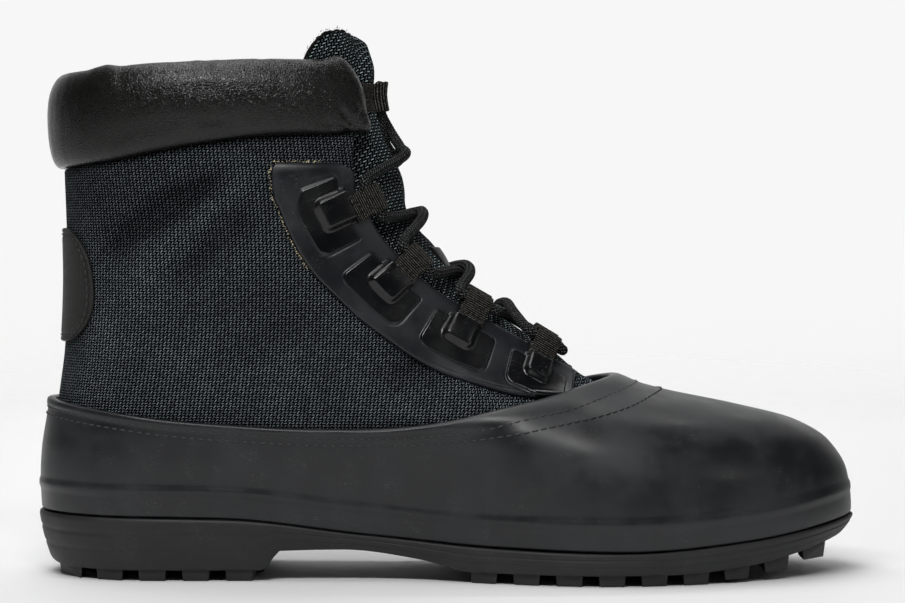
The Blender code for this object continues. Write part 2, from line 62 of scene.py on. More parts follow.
# The boot's own sizes, as in the frame.
boot = dict(
    length=303,
    heelOverhang=1.6,
    toeSway=7,
    ballSway=1.8,
    archCut=5,
    nylonWall=2.0,
    tongueWall=2.4,
    tongueGap=1.0,
    collarPress=3.9,
    fitGap=0.35,
    shellGap=0.8,
    rubberWall=2.7,
    shellTop=71.5,
    stayGap=0.9,
    stayThickness=1.1,
    webbingWidth=10,
    laceDiameter=4.0,
    eyeReach=3.9,
    eyeLift=3.4,
)
originAlong = boot["length"] / 2 - boot["heelOverhang"]
loopDowns = [15.6, 44.3, 72.7, 101.8]
eyeRadius = boot["laceDiameter"] / 2 + 0.5

# The last, level by level: where each level ends, how long its rounded ends are, and its half
# widths at the heel, in the waist and at the ball.
Level = namedtuple(
    "Level", "height back front heelRound noseRound heelHalf waistHalf ballHalf"
)
lastLevels = [
    Level(8, 5.5, 294, 40, 84, 32.0, 31.0, 49.0),
    Level(24, 2.0, 298, 42, 84, 34.5, 34.5, 51.0),
    Level(36, 1.5, 296.5, 42, 85, 35.5, 36.0, 50.5),
    Level(46, 2.0, 290.5, 42, 88, 36.0, 37.0, 48.0),
    Level(53, 3.0, 279, 42, 92, 36.0, 37.5, 45.0),
    Level(59, 4.0, 256, 43, 93, 36.0, 38.0, 42.0),
    Level(65, 4.8, 228, 44, 88, 36.0, 38.0, 38.5),
    Level(70, 5.5, 212, 44, 84, 36.0, 38.0, 37.0),
    Level(76, 6.3, 200.9, 45, 80.4, 36.0, 38.0, 36.0),
    Level(84, 7.2, 191.9, 46, 78.4, 36.0, 38.0, 35.5),
    Level(92, 7.8, 180.3, 47, 74.8, 36.0, 38.0, 35.5),
    Level(101, 8.2, 169.4, 48, 71.9, 36.0, 38.0, 35.5),
    Level(111, 8.4, 158.8, 49, 68.3, 36.5, 38.0, 36.0),
    Level(123, 8.2, 147.5, 50, 65, 37.0, 38.5, 36.5),
    Level(137, 7.8, 138.2, 50, 60.7, 38.0, 39.0, 37.5),
    Level(151, 7.2, 135.2, 50, 59.2, 39.0, 39.5, 38.0),
    Level(165, 6.6, 129.4, 50, 55.9, 39.5, 40.0, 38.5),
    Level(182, 6.0, 124.6, 49, 55.6, 40.0, 40.0, 38.5),
    Level(206, 6.0, 117.0, 47, 55, 40.0, 40.0, 38.5),
]

# Lines seen from the side.
Point = namedtuple("Point", "along height")
featherLine = [
    Point(0, 24), Point(70, 23), Point(120, 17.5), Point(165, 13.5),
    Point(215, 12.5), Point(260, 15.5), Point(303, 22),
]
treadLine = [
    Point(-4, 5.5), Point(6, 4), Point(82, 4), Point(88, 11), Point(112, 11.5), Point(140, 8),
    Point(158, 4), Point(232, 4), Point(262, 6.2), Point(303, 14.5),
]
shellLine = [
    Point(0, 66), Point(25, 62), Point(60, 58), Point(110, 56), Point(150, 58.5),
    Point(178, 63), Point(190, 66), Point(203, 69.5), Point(212, boot["shellTop"]),
]
collarSeam = [Point(0, 149), Point(27, 152), Point(60, 158), Point(85, 161), Point(118, 162.5)]
throatEdge = [
    Point(118.5, 192), Point(118.5, 178), Point(117.0, 165), Point(115.6, 152), Point(116.0, 143),
    Point(118.8, 136.6), Point(121.8, 130.3), Point(126.0, 124.0), Point(131.0, 118.3),
    Point(135.3, 113.5), Point(139.7, 109.4), Point(144.5, 105.6), Point(151.0, 101.3),
    Point(158.0, 97.0), Point(164.0, 93.7), Point(170.5, 90.0), Point(176.5, 86.5),
    Point(183.3, 82.4), Point(188.5, 79.3), Point(193.0, 76.7), Point(197.3, 74.3),
    Point(204.0, 71), Point(209.5, 68.5), Point(217.0, 66), Point(240.0, 58),
]
tongueSide = [
    Point(102, 203), Point(100.5, 192), Point(102, 175), Point(103, 160), Point(107, 143),
    Point(122, 118), Point(148, 96), Point(178, 78), Point(205, 66), Point(215, 58),
]

# The moulded stay: its back edge seen from the side, and, by the distance down the throat's edge
# from its top, how far it starts behind that edge and how far its rows lean, in degrees.
stayBack = [
    Point(91, 151.9), Point(88.5, 151.2), Point(87.0, 149.8), Point(86.4, 147.5), Point(86.7, 143.5),
    Point(87.5, 138.4), Point(88.9, 135.4), Point(91.3, 129.3), Point(94.0, 123.1),
    Point(97.1, 117.5), Point(101.7, 110.9), Point(110.0, 102.5), Point(117.75, 95.2),
    Point(128.1, 87.3), Point(138.4, 80.2), Point(148.75, 74.75), Point(162, 70.2),
    Point(175, 66.8), Point(186, 65.6), Point(200, 64.8),
]
StayRow = namedtuple("StayRow", "down inset lean")
stayTop = 151.6
stayRows = [
    StayRow(0.0, 6.5, 0), StayRow(0.7, 3.6, 8), StayRow(1.8, 1.6, 17), StayRow(3.2, 0.5, 24),
    StayRow(5.1, 0, 27), StayRow(15.6, 0, 27), StayRow(26.1, 0, 27.5), StayRow(33.8, 0, 40),
    StayRow(44.3, 0, 46.5), StayRow(54.8, 0, 47.5), StayRow(62.2, 0, 62), StayRow(72.7, 0, 69),
    StayRow(83.2, 0, 71), StayRow(91.3, 0, 78), StayRow(101.8, 0, 80), StayRow(117.0, 0, 80),
]


def smoothCurve(xs, ys):
    # A curve through the points that never swings past them. It takes arrays.
    xs, ys = np.array(xs, float), np.array(ys, float)
    step = np.diff(xs)
    slope = np.diff(ys) / step
    before, after = slope[:-1], slope[1:]
    same = before * after > 0
    inside = np.zeros(len(before))
    inside[same] = 2 / (1 / before[same] + 1 / after[same])
    tangent = np.concatenate([slope[:1], inside, slope[-1:]])

    def at(x):
        i = np.clip(np.searchsorted(xs, x) - 1, 0, len(step) - 1)
        u = np.clip((x - xs[i]) / step[i], 0, 1)
        rise = ys[i] * (1 + 2 * u) * (1 - u) ** 2 + ys[i + 1] * u * u * (3 - 2 * u)
        return rise + step[i] * u * (1 - u) * (tangent[i] * (1 - u) - tangent[i + 1] * u)

    return at


def lineOf(points):
    return smoothCurve([p.along for p in points], [p.height for p in points])


def sideOf(points):
    return smoothCurve([p.height for p in reversed(points)], [p.along for p in reversed(points)])


levelCurves = [
    smoothCurve([row.height for row in lastLevels], [getattr(row, name) for row in lastLevels])
    for name in Level._fields[1:]
]
stayCurves = [
    smoothCurve([row.down for row in stayRows], [getattr(row, name) for row in stayRows])
    for name in StayRow._fields[1:]
]
featherAt, treadAt, shellAt = lineOf(featherLine), lineOf(treadLine), lineOf(shellLine)
seamAt = lineOf(collarSeam)
throatAt, tongueSideAt, stayBackAt = (sideOf(line) for line in (throatEdge, tongueSide, stayBack))


def ease(u):
    u = np.clip(u, 0, 1)
    return u * u * (3 - 2 * u)


def halfWidth(along, height, inner):
    row = Level(height, *(curve(height) for curve in levelCurves))
    heelX = row.back + row.heelRound
    ballX = row.front - row.noseRound
    middle = (heelX + ballX) / 2
    waist = row.waistHalf - inner * boot["archCut"] * ease((95 - height) / 60)
    rear = row.heelHalf + (waist - row.heelHalf) * ease((along - heelX) / (middle - heelX))
    fore = waist + (row.ballHalf - waist) * ease((along - middle) / (ballX - middle))
    back = np.clip((heelX - along) / row.heelRound, 0, 1)
    nose = np.clip((along - ballX) / row.noseRound, 0, 1)
    width = np.where(along < middle, rear, fore)
    return width * np.sqrt(1 - back**2.1) * np.sqrt(1 - nose**1.9)


def centreLine(along, height):
    sway = boot["toeSway"] * ease((along - 170) / 140)
    sway = sway - boot["ballSway"] * ease(1 - abs(along - 205) / 80)
    return sway * ease((90 - height) / 40)


def bare(turn, height):
    # Points of the last. turn is 0 at the back, 1 at the front and 2 at the back again, the
    # outer side first.
    turn = np.mod(turn, 2)
    inner = turn > 1
    half = np.where(inner, 2 - turn, turn)
    back, front = levelCurves[0](height), levelCurves[1](height)
    along = back + (front - back) * (1 - np.cos(np.pi * half)) / 2
    side = halfWidth(along, height, inner) * np.where(inner, 1, -1)
    return np.stack(np.broadcast_arrays(along, side + centreLine(along, height), height), -1)


def unit(vectors):
    return vectors / np.maximum(np.linalg.norm(vectors, axis=-1, keepdims=True), 1e-9)


def normalAt(turn, height):
    across = bare(turn + 0.004, height) - bare(turn - 0.004, height)
    up = bare(turn, height + 0.6) - bare(turn, height - 0.6)
    return unit(np.cross(across, up))


def last(turn, height, offset=0.0):
    # Points of the last, moved out by offset along its surface.
    turn, height, offset = np.broadcast_arrays(turn, height, offset)
    return bare(turn, height) + normalAt(turn, height) * offset[..., None]


def turnAt(along, height, inner):
    back, front = levelCurves[0](height), levelCurves[1](height)
    share = np.clip((along - back) / (front - back), 0, 1)
    half = np.arccos(1 - 2 * share) / np.pi
    return np.where(inner, 2 - half, half)


def heightOnLine(turn, line, low, high, offset=0.0):
    # The height at which these columns of the last meet a line drawn from the side.
    turn = np.asarray(turn, float)
    low, high = np.full(turn.shape, float(low)), np.full(turn.shape, float(high))
    for _ in range(22):
        middle = (low + high) / 2
        under = middle < line(last(turn, middle, offset)[..., 0])
        low, high = np.where(under, middle, low), np.where(under, high, middle)
    return (low + high) / 2


def throatTurn(height):
    return turnAt(throatAt(height), height, False)


def roundEdge(distance, radius):
    # How far a wall has filled out, at a distance in from its rounded edge.
    return np.sqrt(1 - (1 - np.clip(distance / radius, 0, 1)) ** 2)


def stepsAcross(length, spacing, radius):
    # Places from 0 to length, close together where both ends are rounded.
    rim = radius * np.array([0, 0.04, 0.14, 0.3, 0.5, 0.74, 1])
    count = max(int((length - 2 * radius) / spacing), 1)
    inside = np.linspace(radius, length - radius, count + 1)[1:-1]
    return np.concatenate([rim, inside, (length - rim)[::-1]])


def runAlong(points, axis):
    # The distance travelled along a grid's rows or columns.
    steps = np.linalg.norm(np.diff(points, axis=axis), axis=-1)
    start = np.zeros_like(np.take(steps, [0], axis=axis))
    return np.concatenate([start, np.cumsum(steps, axis=axis)], axis=axis)


def wander(points, size, seed):
    # A soft unevenness from -1 to 1 that changes over about this size.
    total = np.zeros(points.shape[:-1])
    ways = np.random.default_rng(seed).normal(size=(7, 4))
    for way in ways:
        total += np.sin(points @ (way[:3] * 2.2 / size) + way[3] * 9)
    return total / 4


Fold = namedtuple("Fold", "fromAlong fromHeight byAlong byHeight toAlong toHeight depth width")


def foldRelief(points, folds):
    # Soft troughs, and ridges where depth is below 0, along curves drawn from the side.
    relief = np.zeros(points.shape[:-1])
    seen = points[..., [0, 2]]
    for fold in folds:
        nearest = np.full(relief.shape, 1e9)
        share = np.zeros(relief.shape)
        for t in np.linspace(0, 1, 25):
            ends = (1 - t) ** 2 * np.array(fold[0:2]) + t * t * np.array(fold[4:6])
            away = np.linalg.norm(seen - ends - 2 * t * (1 - t) * np.array(fold[2:4]), axis=-1)
            share = np.where(away < nearest, t, share)
            nearest = np.minimum(nearest, away)
        fade = ease(share * 4) * ease((1 - share) * 4)
        relief -= fold.depth * fade * np.exp(-((nearest / fold.width) ** 2))
    return relief


def toFrame(points):
    return (np.asarray(points) - np.array([originAlong, 0, 0])) * mm


def meshOf(name, sheets, finishes, closed=True, **fields):
    # One mesh from grids of points, each with its UV in millimetres and its finish's number.
    # Fields are numbers for the first grid's points, held on the mesh for its finish to read.
    points, faces, uvs, slots = [], [], [], []
    start = 0
    for grid, uv, slot in sheets:
        rows, columns = grid.shape[:2]
        index = start + np.arange(rows * columns).reshape(rows, columns)
        corners = [index[:-1, :-1], index[:-1, 1:], index[1:, 1:], index[1:, :-1]]
        quads = np.stack(corners, -1).reshape(-1, 4)
        points.append(toFrame(grid).reshape(-1, 3))
        uvs.append(np.broadcast_to(uv, grid.shape[:2] + (2,)).reshape(-1, 2))
        faces.append(quads)
        slots.append(np.full(len(quads), slot))
        start += rows * columns
    mesh = bpy.data.meshes.new(name)
    mesh.from_pydata(np.concatenate(points).tolist(), [], np.concatenate(faces).tolist())
    layer = mesh.uv_layers.new(name="UVMap")
    order = np.concatenate(faces).ravel()
    layer.data.foreach_set("uv", np.concatenate(uvs)[order].astype(np.float32).ravel())
    mesh.polygons.foreach_set("material_index", np.concatenate(slots).astype(np.int32))
    for label, values in fields.items():
        held = np.zeros(len(mesh.vertices), np.float32)
        held[:values.size] = values.ravel()
        mesh.attributes.new(label, "FLOAT", "POINT").data.foreach_set("value", held)
    for finish in finishes:
        mesh.materials.append(finish)
    work = bmesh.new()
    work.from_mesh(mesh)
    bmesh.ops.remove_doubles(work, verts=work.verts, dist=4e-6)
    bmesh.ops.dissolve_degenerate(work, edges=work.edges, dist=1e-7)
    if closed:
        bmesh.ops.recalc_face_normals(work, faces=work.faces)
    work.to_mesh(mesh)
    work.free()
    mesh.shade_smooth()
    return addPiece(name, mesh)


def addPiece(name, mesh):
    piece = bpy.data.objects.new(name, mesh)
    bpy.context.scene.collection.objects.link(piece)
    return piece


def keep(piece, slot, *nodes):
    # The piece moves with the boot, and stands for these nodes of the frame.
    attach(piece, "root")
    if nodes:
        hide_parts(*nodes)
    print(f"  {piece.name}: {sum(len(face.vertices) - 2 for face in piece.data.polygons)} triangles")
    return piece


def feed(tree, target, value):
    if isinstance(value, bpy.types.NodeSocket):
        tree.links.new(value, target)
    else:
        target.default_value = value


def calc(tree, operation, *values):
    node = tree.nodes.new("ShaderNodeMath")
    node.operation = operation
    for target, value in zip(node.inputs, values):
        feed(tree, target, value)
    return node.outputs[0]


def mapRange(tree, value, fromLow, fromHigh, toLow=0.0, toHigh=1.0, soft=True):
    node = tree.nodes.new("ShaderNodeMapRange")
    node.interpolation_type = "SMOOTHSTEP" if soft else "LINEAR"
    for target, given in zip(node.inputs, (value, fromLow, fromHigh, toLow, toHigh)):
        feed(tree, target, given)
    return node.outputs[0]


def mixColour(tree, share, first, second):
    node = tree.nodes.new("ShaderNodeMix")
    node.data_type = "RGBA"
    feed(tree, node.inputs["Factor"], share)
    for target, colour in zip((node.inputs[6], node.inputs[7]), (first, second)):
        feed(tree, target, colour if isinstance(colour, bpy.types.NodeSocket) else (*colour, 1))
    return node.outputs[2]


def noiseOf(tree, vector, scale, detail=2.0, roughness=0.5):
    node = tree.nodes.new("ShaderNodeTexNoise")
    feed(tree, node.inputs["Vector"], vector)
    for label, value in (("Scale", scale), ("Detail", detail), ("Roughness", roughness)):
        feed(tree, node.inputs[label], value)
    return node.outputs["Fac"]


def cellsOf(tree, vector, scale, feature="F1"):
    node = tree.nodes.new("ShaderNodeTexVoronoi")
    node.feature = feature
    feed(tree, node.inputs["Vector"], vector)
    feed(tree, node.inputs["Scale"], scale)
    return node.outputs["Distance"]


def placeOf(tree):
    return tree.nodes.new("ShaderNodeTexCoord").outputs["Object"]


def addSplit(tree, vector):
    node = tree.nodes.new("ShaderNodeSeparateXYZ")
    feed(tree, node.inputs[0], vector)
    return node.outputs


def layoutOf(tree):
    node = tree.nodes.new("ShaderNodeUVMap")
    node.uv_map = "UVMap"
    return node.outputs["UV"]


def relief(tree, height, distance, strength=1.0, under=None):
    node = tree.nodes.new("ShaderNodeBump")
    node.inputs["Strength"].default_value = strength
    node.inputs["Distance"].default_value = distance
    feed(tree, node.inputs["Height"], height)
    if under:
        tree.links.new(under, node.inputs["Normal"])
    return node.outputs["Normal"]


def effect(name, inputs, outputs):
    # A shader node group with these named inputs and outputs.
    tree = bpy.data.node_groups.new(name, "ShaderNodeTree")
    for label, kind, value in inputs:
        socket = tree.interface.new_socket(label, in_out="INPUT", socket_type="NodeSocket" + kind)
        if value is not None:
            socket.default_value = value
    for label in outputs:
        tree.interface.new_socket(label, in_out="OUTPUT", socket_type="NodeSocketFloat")
    given = tree.nodes.new("NodeGroupInput").outputs
    return tree, given, tree.nodes.new("NodeGroupOutput").inputs


def useEffect(tree, group, **values):
    node = tree.nodes.new("ShaderNodeGroup")
    node.node_tree = group
    for label, value in values.items():
        feed(tree, node.inputs[label.replace("_", " ")], value)
    return node.outputs


def yarnCell(tree, across, lengthwise):
    # A yarn's height where it lies on top: round across itself, and bowed along its float.
    crown = calc(tree, "COSINE", calc(tree, "MULTIPLY", across, math.pi))
    bow = calc(tree, "COSINE", calc(tree, "MULTIPLY", lengthwise, math.pi))
    body = calc(tree, "POWER", calc(tree, "MAXIMUM", crown, 0.0), 0.6)
    return calc(tree, "MULTIPLY", body, calc(tree, "MULTIPLY_ADD", bow, 0.6, 0.4))


def streakOf(tree, offCentre, wide, lengthwise, long):
    # A soft streak: 1 on its line, 0 beyond its width and its two ends.
    side = mapRange(tree, calc(tree, "ABSOLUTE", offCentre), wide, 0.35 * wide)
    ends = mapRange(tree, calc(tree, "ABSOLUTE", lengthwise), long, 0.6 * long)
    return calc(tree, "MULTIPLY", side, ends)


def makeWeave():
    # Plain weave on a layout in millimetres. Crown is the light caught on each float, slanted by
    # the yarn's twist; Tone differs from float to float.
    sizes = [("Layout", "Vector", None), ("Warp", "Float", 1.4), ("Weft", "Float", 1.0)]
    sizes += [("Bend", "Float", 0.12), ("Slant", "Float", 0.45)]
    tree, given, out = effect("plain weave", sizes, ["Height", "Crown", "Tone", "Level"])
    split = tree.nodes.new("ShaderNodeSeparateXYZ")
    tree.links.new(given["Layout"], split.inputs[0])
    drift = calc(tree, "SUBTRACT", noiseOf(tree, given["Layout"], 0.32, 2.0), 0.5)
    sway = calc(tree, "MULTIPLY", drift, given["Bend"])
    column = calc(tree, "ADD", calc(tree, "DIVIDE", split.outputs[0], given["Warp"]), sway)
    row = calc(tree, "ADD", calc(tree, "DIVIDE", split.outputs[1], given["Weft"]), sway)
    across = calc(tree, "SUBTRACT", calc(tree, "FRACT", column), 0.5)
    upward = calc(tree, "SUBTRACT", calc(tree, "FRACT", row), 0.5)
    cell = calc(tree, "ADD", calc(tree, "FLOOR", column), calc(tree, "FLOOR", row))
    odd = calc(tree, "FLOORED_MODULO", cell, 2.0)
    tree.links.new(odd, out["Level"])
    leaning = calc(tree, "SUBTRACT", across, calc(tree, "MULTIPLY", upward, given["Slant"]))
    tick = streakOf(tree, leaning, 0.19, upward, 0.6)
    lifted = calc(tree, "ADD", upward, calc(tree, "MULTIPLY_ADD", across, -0.25, -0.08))
    dash = streakOf(tree, lifted, 0.19, across, 0.5)
    pairs = [
        (yarnCell(tree, across, upward), yarnCell(tree, upward, across), "Height"),
        (tick, calc(tree, "MULTIPLY", dash, 0.85), "Crown"),
    ]
    for upright, level, label in pairs:
        either = tree.nodes.new("ShaderNodeMix")
        for place, value in ((0, odd), (2, upright), (3, level)):
            feed(tree, either.inputs[place], value)
        tree.links.new(either.outputs[0], out[label])
    place = tree.nodes.new("ShaderNodeCombineXYZ")
    tree.links.new(calc(tree, "FLOOR", column), place.inputs[0])
    tree.links.new(calc(tree, "FLOOR", row), place.inputs[1])
    chance = tree.nodes.new("ShaderNodeTexWhiteNoise")
    tree.links.new(place.outputs[0], chance.inputs["Vector"])
    tree.links.new(chance.outputs["Value"], out["Tone"])
    return tree


def makeGrain():
    # Leather's pebbles and pores, at a size in metres.
    tree, given, out = effect(
        "leather grain", [("Place", "Vector", None), ("Size", "Float", 0.0007)], ["Height", "Pore"]
    )
    scale = calc(tree, "DIVIDE", 1.0, given["Size"])
    warped = tree.nodes.new("ShaderNodeVectorMath")
    warped.operation = "MULTIPLY_ADD"
    drift = tree.nodes.new("ShaderNodeTexNoise")
    drift.inputs["Detail"].default_value = 1.0
    tree.links.new(given["Place"], drift.inputs["Vector"])
    tree.links.new(calc(tree, "MULTIPLY", scale, 0.45), drift.inputs["Scale"])
    tree.links.new(drift.outputs["Color"], warped.inputs[0])
    warped.inputs[1].default_value = (0.0006, 0.0006, 0.0006)
    tree.links.new(given["Place"], warped.inputs[2])
    crease = cellsOf(tree, warped.outputs[0], scale, "DISTANCE_TO_EDGE")
    fine = cellsOf(tree, warped.outputs[0], calc(tree, "MULTIPLY", scale, 2.3))
    tree.links.new(calc(tree, "MULTIPLY_ADD", fine, -0.3, mapRange(tree, crease, 0.0, 0.32)), out["Height"])
    tree.links.new(mapRange(tree, crease, 0.12, 0.02), out["Pore"])
    return tree


def makeHandling():
    # Marks of handling: a slow cloudiness, small bright specks and a few thin scratches.
    tree, given, out = effect(
        "handling", [("Place", "Vector", None), ("Size", "Float", 0.02)], ["Cloud", "Specks", "Scratches"]
    )
    scale = calc(tree, "DIVIDE", 1.0, given["Size"])
    tree.links.new(noiseOf(tree, given["Place"], scale, 3.0, 0.55), out["Cloud"])
    grit = cellsOf(tree, given["Place"], calc(tree, "MULTIPLY", scale, 11.0))
    clumps = noiseOf(tree, given["Place"], calc(tree, "MULTIPLY", scale, 2.2), 1.0)
    patchy = mapRange(tree, clumps, 0.5, 0.72)
    dots = mapRange(tree, grit, 0.13, 0.05)
    tree.links.new(calc(tree, "MULTIPLY", dots, patchy), out["Specks"])
    turned = tree.nodes.new("ShaderNodeMapping")
    tree.links.new(given["Place"], turned.inputs["Vector"])
    turned.inputs["Rotation"].default_value = (0.3, 0.9, 0.4)
    turned.inputs["Scale"].default_value = (1.0, 1.0, 14.0)
    streak = noiseOf(tree, turned.outputs[0], calc(tree, "MULTIPLY", scale, 5.0), 1.0, 0.4)
    line = calc(tree, "ABSOLUTE", calc(tree, "SUBTRACT", streak, 0.5))
    tree.links.new(calc(tree, "MULTIPLY", mapRange(tree, line, 0.008, 0.001), patchy), out["Scratches"])
    return tree


weave, grain, handling = makeWeave(), makeGrain(), makeHandling()


def finishOf(name, colour, roughness, **fixed):
    made = bpy.data.materials.new(name)
    made.use_nodes = True
    made.diffuse_color = (*colour, 1)
    shader = made.node_tree.nodes["Principled BSDF"]
    shader.inputs["Base Color"].default_value = (*colour, 1)
    shader.inputs["Roughness"].default_value = roughness
    for label, value in fixed.items():
        shader.inputs[label.replace("_", " ")].default_value = value
    return made, made.node_tree, shader.inputs


cloth = dict(
    warp=1.38,          # mm from one upright yarn to the next
    weft=1.0,           # and from one level yarn to the next
    # hollow is painted shade between the yarns; shine is the colour of the floats' painted highlights.
    hollow=(0.0003, 0.0004, 0.0004),
    yarn=(0.0046, 0.0053, 0.0058),
    shine=(0.225, 0.262, 0.284),
    deep=0.0004,
    rawEdge=(0.0055, 0.005, 0.004),
)


def makeNylon(name, yarn, shine, patchy, upright, size, dimmer):
    # Where the mesh holds a raw edge, the weave gives way to the dull core. Folds get painted
    # light on their ridges and painted shade in their troughs. The floats' glints are painted
    # highlights in the base colour, and the hollows between yarns are painted shade. patchy,
    # upright and dimmer are the share of painted light that the dullest clouds, the upright
    # yarns and the shaft's top keep; towards its top the shaft gets painted shade.
    made, tree, shader = finishOf(name, yarn, 0.5, Specular_IOR_Level=0.02)
    layout = layoutOf(tree)
    yarns = useEffect(tree, weave, Layout=layout, Warp=size * cloth["warp"], Weft=size * cloth["weft"])
    cloudsAndShade = mapRange(tree, noiseOf(tree, layout, 0.045, 3.0), 0.36, 0.64, patchy, 1.0)
    # Painted shade: the shaft darkens towards its top. The clouds are uneven tone; with this and the folds
    # they carry painted shade too.
    shadeTowardsTop = mapRange(tree, addSplit(tree, placeOf(tree))[2], 0.095, 0.155, 1.0, dimmer)
    cloudsAndShade = calc(tree, "MULTIPLY", cloudsAndShade, shadeTowardsTop)
    # Painted light on the folds' ridges and painted shade in their troughs, read from the mesh.
    rubbed = tree.nodes.new("ShaderNodeAttribute")
    rubbed.attribute_name = "rubbed"
    cloudsAndShade = calc(tree, "MULTIPLY", cloudsAndShade, calc(tree, "MULTIPLY_ADD", rubbed.outputs["Fac"], 0.5, 1.0))
    glint = mapRange(tree, yarns["Tone"], 0.0, 1.0, 0.45, 1.0, False)
    caught = calc(tree, "MULTIPLY", calc(tree, "MULTIPLY", yarns["Crown"], glint), cloudsAndShade)
    ways = mapRange(tree, yarns["Level"], 0.0, 1.0, upright, 1.0, False)
    caught = calc(tree, "MULTIPLY", caught, ways)
    # Painted shade: the hollows between the yarns are darker.
    body = mixColour(tree, calc(tree, "MULTIPLY", yarns["Height"], cloudsAndShade), cloth["hollow"], yarn)
    raw = tree.nodes.new("ShaderNodeAttribute")
    raw.attribute_name = "raw"
    # Painted highlight: the floats' glints are mixed into the base colour.
    woven = mixColour(tree, caught, body, shine)
    feed(tree, shader["Base Color"], mixColour(tree, raw.outputs["Fac"], woven, cloth["rawEdge"]))
    feed(tree, shader["Roughness"], mapRange(tree, caught, 0.1, 0.9, 0.8, 0.38))
    feed(tree, shader["Normal"], relief(tree, yarns["Height"], cloth["deep"]))
    return made


def makeLining():
    made, tree, shader = finishOf("lining", (0.02, 0.02, 0.022), 0.85, Sheen_Weight=0.15)
    layout = layoutOf(tree)
    yarns = useEffect(tree, weave, Layout=layout, Warp=0.9, Weft=0.9)
    # Painted shade in the weave's hollows.
    tone = mixColour(tree, yarns["Height"], (0.010, 0.010, 0.011), (0.026, 0.026, 0.028))
    feed(tree, shader["Base Color"], tone)
    feed(tree, shader["Normal"], relief(tree, yarns["Height"], 0.0002))
    return made


def makeLeather(name, dark, light, size, deep, dullness, specular=0.36):
    made, tree, shader = finishOf(name, dark, 0.4, Specular_IOR_Level=specular)
    place = placeOf(tree)
    skin = useEffect(tree, grain, Place=place, Size=size)
    marks = useEffect(tree, handling, Place=place, Size=0.03)
    tone = mixColour(tree, mapRange(tree, marks["Cloud"], 0.35, 0.7), dark, light)
    # Painted shade: the grain's creases and pores are darker.
    inPore = calc(tree, "MULTIPLY", skin["Pore"], 0.3)
    feed(tree, shader["Base Color"], mixColour(tree, inPore, tone, tuple(0.4 * part for part in dark)))
    dull = mapRange(tree, marks["Cloud"], 0.3, 0.7, dullness - 0.04, dullness + 0.06)
    feed(tree, shader["Roughness"], calc(tree, "MULTIPLY_ADD", skin["Pore"], 0.12, dull))
    # Creases that slant up and forward, deeper towards the toe's side.
    slanted = tree.nodes.new("ShaderNodeMapping")
    slanted.vector_type = "TEXTURE"
    tree.links.new(place, slanted.inputs["Vector"])
    slanted.inputs["Rotation"].default_value = (0, math.radians(-60), 0)
    slanted.inputs["Scale"].default_value = (3.6, 1.6, 1.0)
    folded = useEffect(tree, grain, Place=slanted.outputs[0], Size=0.9 * size)
    wrinkled = mapRange(tree, noiseOf(tree, place, 60.0, 2.0), 0.35, 0.65, 0.3, 1.0)
    forward = mapRange(tree, addSplit(tree, place)[0], -0.12, -0.06, 0.15, 1.0)
    creased = calc(tree, "MULTIPLY", forward, wrinkled)
    height = calc(tree, "MULTIPLY_ADD", folded["Height"], creased, skin["Height"])
    feed(tree, shader["Normal"], relief(tree, height, deep, 0.9))
    return made


def makeRubber(name, colour, roughness, deep=0.00004, speck=(0.16, 0.16, 0.155)):
    # Where the mesh holds a raised pad, its skin is darker and smoother.
    made, tree, shader = finishOf(name, colour, roughness, Specular_IOR_Level=0.45)
    raised = tree.nodes.new("ShaderNodeAttribute")
    raised.attribute_name = "raised"
    polished = raised.outputs["Fac"]
    place = placeOf(tree)
    marks = useEffect(tree, handling, Place=place, Size=0.018)
    pale = tuple(1.7 * part + 0.004 for part in colour)
    tone = mixColour(tree, mapRange(tree, marks["Cloud"], 0.35, 0.75), colour, pale)
    scuffs = calc(tree, "MULTIPLY", calc(tree, "MAXIMUM", marks["Specks"], marks["Scratches"]), 0.55)
    tone = mixColour(tree, polished, tone, tuple(0.35 * part for part in colour))
    feed(tree, shader["Base Color"], mixColour(tree, scuffs, tone, speck))
    dull = mapRange(tree, marks["Cloud"], 0.3, 0.7, roughness - 0.05, roughness + 0.09)
    dull = calc(tree, "MULTIPLY_ADD", polished, -0.11, dull)
    feed(tree, shader["Roughness"], calc(tree, "MULTIPLY_ADD", scuffs, 0.3, dull))
    skin = noiseOf(tree, place, 2600.0, 2.0, 0.6)
    feed(tree, shader["Normal"], relief(tree, skin, deep, 0.6))
    return made


def makeWebbing():
    # Ribs lie in the mesh too; this adds the fine warp that binds them.
    made, tree, shader = finishOf("ribbedWebbing", (0.010, 0.009, 0.008), 0.75, Specular_IOR_Level=0.1)
    layout = layoutOf(tree)
    split = addSplit(tree, layout)
    rib = calc(tree, "COSINE", calc(tree, "MULTIPLY", split[1], 2 * math.pi / 0.8))
    binder = calc(tree, "COSINE", calc(tree, "MULTIPLY", split[0], 2 * math.pi / 0.52))
    height = calc(tree, "MULTIPLY_ADD", binder, 0.16, calc(tree, "MULTIPLY_ADD", rib, 0.34, 0.5))
    thready = noiseOf(tree, layout, 2.3, 2.0)
    # Painted highlights on the ribs' crowns, and painted shade between the ribs.
    crown = calc(tree, "MULTIPLY", height, mapRange(tree, thready, 0.3, 0.7, 0.6, 1.2))
    crown = mapRange(tree, crown, 0.66, 1.0)
    high = mapRange(tree, height, 0.3, 0.9)
    body = mixColour(tree, high, (0.0005, 0.0005, 0.0004), (0.021, 0.0195, 0.0172))
    feed(tree, shader["Base Color"], mixColour(tree, crown, body, (0.19, 0.18, 0.16)))
    feed(tree, shader["Normal"], relief(tree, height, 0.00022))
    return made


